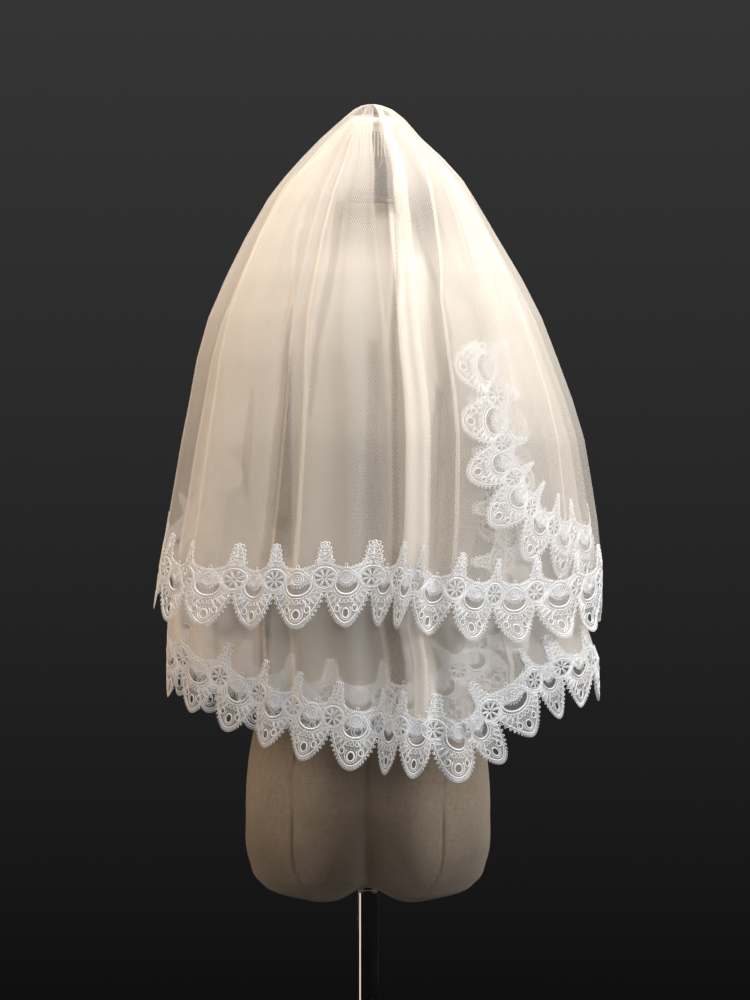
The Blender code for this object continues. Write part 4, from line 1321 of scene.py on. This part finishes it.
# z, half width, back, front
FORM = np.array([
    (0.6370, 0.0780, 0.060, 0.050), (0.6450, 0.1120, 0.083, 0.070), (0.6600, 0.1360, 0.099, 0.083),
    (0.6850, 0.1480, 0.110, 0.091), (0.7450, 0.1525, 0.117, 0.097), (0.8150, 0.1485, 0.112, 0.097),
    (0.8850, 0.1340, 0.101, 0.094), (0.9450, 0.1240, 0.088, 0.088), (1.0000, 0.1210, 0.079, 0.085),
    (1.0600, 0.1290, 0.080, 0.092), (1.1200, 0.1420, 0.087, 0.110), (1.1750, 0.1520, 0.094, 0.122),
    (1.2300, 0.1560, 0.098, 0.112), (1.2800, 0.1610, 0.096, 0.090), (1.3200, 0.1670, 0.088, 0.074),
    (1.3450, 0.1610, 0.081, 0.067), (1.3720, 0.1360, 0.074, 0.062), (1.4020, 0.0920, 0.064, 0.056),
    (1.4350, 0.0590, 0.056, 0.049), (1.4700, 0.0510, 0.051, 0.046), (1.5000, 0.0500, 0.050, 0.045),
])


def eased(at, table, column):
    """Smooth curve through a table: cubic between its rows, with slopes from their neighbours."""
    x, y = table[:, 0], table[:, column]
    slope = np.gradient(y, x)
    k = np.clip(np.searchsorted(x, at) - 1, 0, len(x) - 2)
    h = x[k + 1] - x[k]
    t = (at - x[k]) / h
    first = (1 + 2 * t) * (1 - t) ** 2 * y[k] + t * (1 - t) ** 2 * h * slope[k]
    return first + t * t * (3 - 2 * t) * y[k + 1] + t * t * (t - 1) * h * slope[k + 1]


# %% Make the form
def form_surface(rows=190, columns=240):
    """x = half width x sin^0.88, y = depth x cos^0.92, lower rim raised in a saddle."""
    low = FORM_BOTTOM_Z + 0.050 * np.linspace(0, 1, 40) ** 1.6
    levels = np.concatenate([low, np.linspace(low[-1], NECK_TOP_Z, rows - 39)[1:]])
    a = 2 * np.pi * np.arange(columns) / columns
    s, c = np.sin(a)[None], np.cos(a)[None]
    z = levels[:, None]
    half, back, front = (eased(levels, FORM, k)[:, None] for k in (1, 2, 3))
    x = half * np.sign(s) * abs(s) ** 0.88
    y = np.where(c > 0, -back, front) * abs(c) ** 0.92
    near_rim = np.clip(1 - (z - FORM_BOTTOM_Z) / 0.030, 0, 1)
    rise = SADDLE_RISE * near_rim * hump(x, 0, SADDLE_WIDTH)
    behind = np.clip(c, 0, 1) ** 0.5
    cleft = 0.0060 * hump(x, 0, 0.013) * hump(z, 0.690, 0.050) * behind
    lobes = 0.0040 * hump(abs(x), 0.062, 0.040) * hump(z, 0.735, 0.060) * behind
    y = y + cleft - lobes
    # seams: the centre line, the two sides, and princess lines a little over half way out
    share_out = np.interp(z, *PRINCESS)
    off_princess = (abs(x) / half - share_out) * half
    seam = hump(x, 0, SEAM_HALF) + hump(off_princess, 0, SEAM_HALF) + hump(abs(c), 0, 0.008)
    seam = np.clip(seam, 0, 1)
    inward = 1 - SEAM_HALF * seam / np.maximum(half, 0.03)
    points = np.stack([x * inward, y * inward, z + rise + 0 * x], axis=-1)
    # where the cover is darker: its seams, which are worn; its rim, worn and in painted shade; and,
    # as painted shade, the crease over it, the middle of the back, and gradually from the shoulders
    # down to the waist
    # the lower rim, partly worn and partly in painted shade
    rim_wear_and_shade = np.exp(-(z - FORM_BOTTOM_Z) / 0.016) * 0.75
    # painted shade in the crease over the rim
    painted_crease_shade = 0.5 * hump(x, 0, 0.010) * hump(z, 0.685, 0.055) * behind
    # painted shade down the middle of the back, and low on the cover, fading out by 0.76 m
    middle = 0.55 * hump(x, 0.004, 0.058, 4) * behind + 0.42 * np.interp(z, (0.66, 0.76), (1, 0))
    # painted shade from the shoulders down to the waist
    painted_shade_below_shoulders = np.interp(z, (1.05, 1.38), (0.32, 0.0))
    wear = np.clip(seam * 0.75 + rim_wear_and_shade + painted_crease_shade + middle + painted_shade_below_shoulders, 0, 1)
    around = a[None] / (2 * np.pi) * 0.8 + 0 * x
    return points, np.stack([around, z + 0 * x], axis=-1), wear


def dress_form():
    """The outer surface, an underside of rings drawn in to the pole's seat, and the neck's top."""
    points, uv, wear = form_surface()
    columns = points.shape[1]
    inner = []
    for share in np.linspace(0.9, 0.25, 9):
        ring = points[0] * share
        ring[:, 2] = FORM_BOTTOM_Z + SADDLE_RISE * hump(ring[:, 0], 0, SADDLE_WIDTH)
        inner.append(ring)
    a = 2 * np.pi * np.arange(columns) / columns
    level = np.full(columns, FORM_BOTTOM_Z + SADDLE_RISE)
    seat = np.column_stack([SEAT_RADIUS * np.sin(a), -SEAT_RADIUS * np.cos(a), level])
    under = np.stack([seat * (0.01, 0.01, 1.0), seat, *inner[::-1]])
    top = np.stack([points[-1] * (share, share, 1) for share in (0.9, 0.5, 0.01)])
    every = np.concatenate([under, points, top])
    cloth = np.concatenate([under[..., :2] + 0.5, uv, top[..., :2] + 0.5])
    # the underside darkened as painted shade, the neck's top only a little
    shade = np.concatenate([np.full(under.shape[:2], 0.35), wear, np.full(top.shape[:2], 0.1)])
    quads = grid_quads(len(every), columns, closed=True)
    shares = {"wear": shade}
    return piece("linen_form", every.reshape(-1, 3), quads, linen, cloth.reshape(-1, 2), shares)


form = dress_form()
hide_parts("form_body")

# %% [markdown]
# ## Turned pieces
# The neck cap, the post, the collar, the pole and the base are all turned on a lathe, so each is
# a profile of radius and height carried round an axis. Cutting the profile's corners twice
# leaves the small rounds that a real edge has.


# %% Carry a profile round
def softened(profile, times=2):
    """Corner cutting: each corner gives way to points a quarter along the lines beside it."""
    line = np.array(profile, float)
    for _ in range(times):
        a, b = line[:-1], line[1:]
        cut = np.stack([a * 0.75 + b * 0.25, a * 0.25 + b * 0.75], axis=1).reshape(-1, 2)
        line = np.vstack([line[:1], cut, line[-1:]])
    return line


def kept_corners(profile, reach=0.0008):
    """Extra points close to each corner, so that cutting it only rounds the corner itself."""
    line = np.array(profile, float)
    a, b = line[:-1], line[1:]
    near = unit(b - a) * np.minimum(reach, np.linalg.norm(b - a, axis=1, keepdims=True) / 3)
    return np.vstack([np.stack([a, a + near, b - near], axis=1).reshape(-1, 2), line[-1:]])


def turned(name, profile, finish, node, centre=(0.0, 0.0), sides=96):
    """x = radius x cos, y = radius x sin round the centre, from the top of the profile down."""
    line = softened(kept_corners(profile))
    radius = np.maximum(line[:, 0], 0.00002)[:, None]
    a = 2 * np.pi * np.arange(sides) / sides
    points = np.stack([
        centre[0] + radius * np.cos(a), centre[1] + radius * np.sin(a), line[:, 1][:, None] + 0 * a,
    ], axis=-1)
    quads = grid_quads(len(line), sides, closed=True)[:, ::-1]
    made = piece(name, points.reshape(-1, 3), quads, finish)
    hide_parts(node)


# %% Turn the cap and the post
# gap that stands for a seam or a joint between two pieces
SEAM = 0.0003
CAP_LOW, CAP_TOP = NECK_TOP_Z + SEAM, NECK_TOP_Z + SEAM + 0.009
PAD_TOP_Z = 1.594
cap_profile = [
    (0, CAP_TOP), (0.043, CAP_TOP), (0.048, CAP_TOP - 0.003), (0.048, CAP_LOW + 0.002),
    (0.046, CAP_LOW), (0, CAP_LOW),
]
turned("wooden_cap", cap_profile, wood, "neck_cap")
POST_LOW = CAP_TOP + SEAM
post_profile = [
    (0, PAD_TOP_Z), (0.009, PAD_TOP_Z - 0.002), (0.0135, PAD_TOP_Z - 0.010),
    (0.0145, PAD_TOP_Z - 0.022), (0.0125, PAD_TOP_Z - 0.034), (0.009, PAD_TOP_Z - 0.044),
    (0.009, POST_LOW + 0.006), (0.014, POST_LOW + 0.003), (0.014, POST_LOW), (0, POST_LOW),
]
turned("wooden_post", post_profile, wood, "veil_post", centre=(0.006, 0.011), sides=64)

# %% Turn the collar, the pole and the base
COLLAR_TOP = FORM_BOTTOM_Z + SADDLE_RISE - SEAM
COLLAR_LOW, COLLAR_RADIUS = COLLAR_TOP - 0.010, 0.017
POLE_TOP, POLE_LOW, POLE_RADIUS = COLLAR_TOP - 0.0103, 0.0403, 0.013
base_profile = [
    (0, 0.040), (0.019, 0.040), (0.024, 0.036), (0.027, 0.024), (0.045, 0.018), (0.165, 0.011),
    (0.175, 0.006), (0.175, 0.0), (0, 0.0),
]


def rod(low, top, radius):
    """Profile of a plain cylinder."""
    return [(0, top), (radius, top), (radius, low), (0, low)]


collar_profile = rod(COLLAR_LOW, COLLAR_TOP, COLLAR_RADIUS)
turned("chrome_collar", collar_profile, chrome, "pole_collar")
turned("chrome_pole", rod(POLE_LOW, POLE_TOP, POLE_RADIUS), chrome, "pole")
turned("weighted_base", base_profile, enamel, "base", sides=128)

# %% [markdown]
# ## What holds the gathers
# The tulle is gathered on a short satin binding, sewn to a plastic comb. The comb's CAD shape is
# right, so it only gets a better finish. The binding is a soft oval ring with small puckers.


# %% The binding and the comb
COMB_TOP_Z = 1.6025


def binding():
    """Ring = the innermost cloth at six drops, drawn in by its clearance and by puckers. Its last
    one lies level on the comb."""
    sides, first, last = 168, 0.0125, 0.0160
    angle = np.linspace(-180, 180, sides, endpoint=False)
    rings = []
    for drop in np.linspace(first, last, 6):
        level = np.full(sides, drop)
        ring = lower.place(angle, np.full(sides, lower.inside.max()), level)
        pucker = 0.00035 * (0.5 - 0.5 * np.cos(np.radians(angle) * 28))
        clear = 0.0011 + (drop - first) * 0.4 + pucker
        ring = ring - bell_normal(angle, level) * clear[:, None]
        rings.append(ring)
    rings[-1][:, 2] = COMB_TOP_Z + SEAM
    middle_low, middle_top = rings[-1].mean(axis=0), rings[0].mean(axis=0)
    top = [middle_top + (rings[0] - middle_top) * share for share in (0.02, 0.6)]
    under = [middle_low + (rings[-1] - middle_low) * share for share in (0.6, 0.02)]
    points = np.stack([*top, *rings, *under])
    around = np.broadcast_to(angle / 360 + 0.5, points.shape[:2])
    uv = np.stack([around, points[..., 2] * 10 % 1], axis=-1)
    quads = grid_quads(len(points), sides, closed=True)[:, ::-1]
    return piece("satin_binding", points.reshape(-1, 3), quads, satin, uv.reshape(-1, 2))


ring = binding()
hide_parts("gathering_binding")
comb = next(o for o in bpy.data.objects if o.get("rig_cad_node") == "comb")
comb.data.materials.clear()
comb.data.materials.append(comb_plastic)
print("comb keeps its CAD shape,", len(comb.data.polygons), "faces")

# %% [markdown]
# ## The studio
# The photograph has a charcoal backdrop, and its light comes from above and from the right, with
# a warm one from the left that browns that side of the cloth. A low fill from the camera's side
# lights the lace, two weaker lights behind shine through the cloth, and a low card on the left
# lifts the linen's edge. The floor is a pale disc that stays below the picture. The backdrop is
# the world itself, lighter toward the top.


# %% The floor and the backdrop
def floor_disc(radius=0.6, sides=96):
    """A disc in rings round the base, a hair below it."""
    share = np.array([0.001, 0.2, 0.5, 1.0])[:, None]
    a = 2 * np.pi * np.arange(sides) / sides
    flat = [radius * share * np.cos(a), radius * share * np.sin(a), -0.0005 + 0 * share * a]
    points = np.stack(flat, axis=-1)
    f = Finish("pale_floor")
    cloudy = f.noise(f.object_place(), 3.0, 4.0)
    tint = f.blend(cloudy, (0.62, 0.61, 0.59), (0.68, 0.67, 0.65))
    material = f.done(f.principled(Base_Color=tint, Roughness=0.8))
    made = piece("studio_floor", points.reshape(-1, 3), grid_quads(4, sides, closed=True), material)
    made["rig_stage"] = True


floor_disc()
world = bpy.data.worlds.new("charcoal_backdrop")
bpy.context.scene.world = world
world.use_nodes = True
sky = world.node_tree
sky.nodes.clear()
ray = sky.nodes.new("ShaderNodeTexCoord")
height = sky.nodes.new("ShaderNodeSeparateXYZ")
ramp = sky.nodes.new("ShaderNodeValToRGB")
scale = sky.nodes.new("ShaderNodeMapRange")
scale.inputs["From Min"].default_value, scale.inputs["From Max"].default_value = -0.18, 0.18
ramp.color_ramp.elements[0].color = (0.0038, 0.0038, 0.0040, 1)
ramp.color_ramp.elements[1].color = (0.0360, 0.0365, 0.0375, 1)
back = sky.nodes.new("ShaderNodeBackground")
out = sky.nodes.new("ShaderNodeOutputWorld")
for start, end in (
    (ray.outputs["Generated"], height.inputs[0]), (height.outputs["Z"], scale.inputs["Value"]),
    (scale.outputs["Result"], ramp.inputs["Fac"]), (ramp.outputs["Color"], back.inputs["Color"]),
    (back.outputs["Background"], out.inputs["Surface"]),
):
    sky.links.new(start, end)


# %% The lights
def soft_light(name, place, toward, size, watts, colour):
    """A square area light that faces a point."""
    made = bpy.data.lights.new(name, "AREA")
    made.size, made.energy, made.color = size, watts, colour
    thing = bpy.data.objects.new(name, made)
    thing.location = place
    thing.rotation_mode = "QUATERNION"
    thing.rotation_quaternion = (Vector(toward) - Vector(place)).to_track_quat("-Z", "Y")
    bpy.context.scene.collection.objects.link(thing)
    print("light", name, watts, "W")
    return thing


# name, place, the point it faces, size in m, watts, colour
LIGHTS = [
    ("top", (0.30, -0.55, 3.3), (0.0, 0, 1.4), 1.2, 90, (1.0, 0.92, 0.81)),
    ("key_right", (2.6, -0.95, 1.9), (0.0, 0, 1.2), 1.1, 57, (1.0, 0.96, 0.91)),
    ("warm_left", (-2.3, -0.55, 2.0), (-0.05, 0, 1.35), 0.9, 37, (1.0, 0.74, 0.50)),
    ("low_fill", (0.7, -2.7, 1.75), (0.0, 0, 0.80), 1.2, 31, (0.96, 0.98, 1.0)),
    ("behind_right", (1.6, 2.2, 0.9), (0.0, 0, 0.9), 1.0, 19, (1.0, 0.90, 0.80)),
    ("behind_left", (-1.7, 2.1, 0.8), (0.0, 0, 0.9), 1.0, 11, (1.0, 0.80, 0.63)),
    ("low_card_left", (-2.1, 0.35, 0.42), (0.0, 0, 0.5), 0.85, 3.4, (1.0, 0.74, 0.60)),
]
lights = {row[0]: soft_light(*row) for row in LIGHTS}
lights["low_fill"].visible_glossy = False
bpy.context.scene.view_settings.view_transform = "Standard"
bpy.context.scene.cycles.transparent_max_bounces = 40

# %% [markdown]
# ## Measure
# The dressed model's box is measured, and how far it differs from the CAD box is printed in
# millimetres. The dressed model has to stay within a few millimetres of the CAD box.

# %% Measure the dressed model's box
VISUAL_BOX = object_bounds()
grown = abs(np.subtract(VISUAL_BOX, CAD_BOX)).ravel() * 1000
print("box differs by, mm", grown.round(1).tolist())
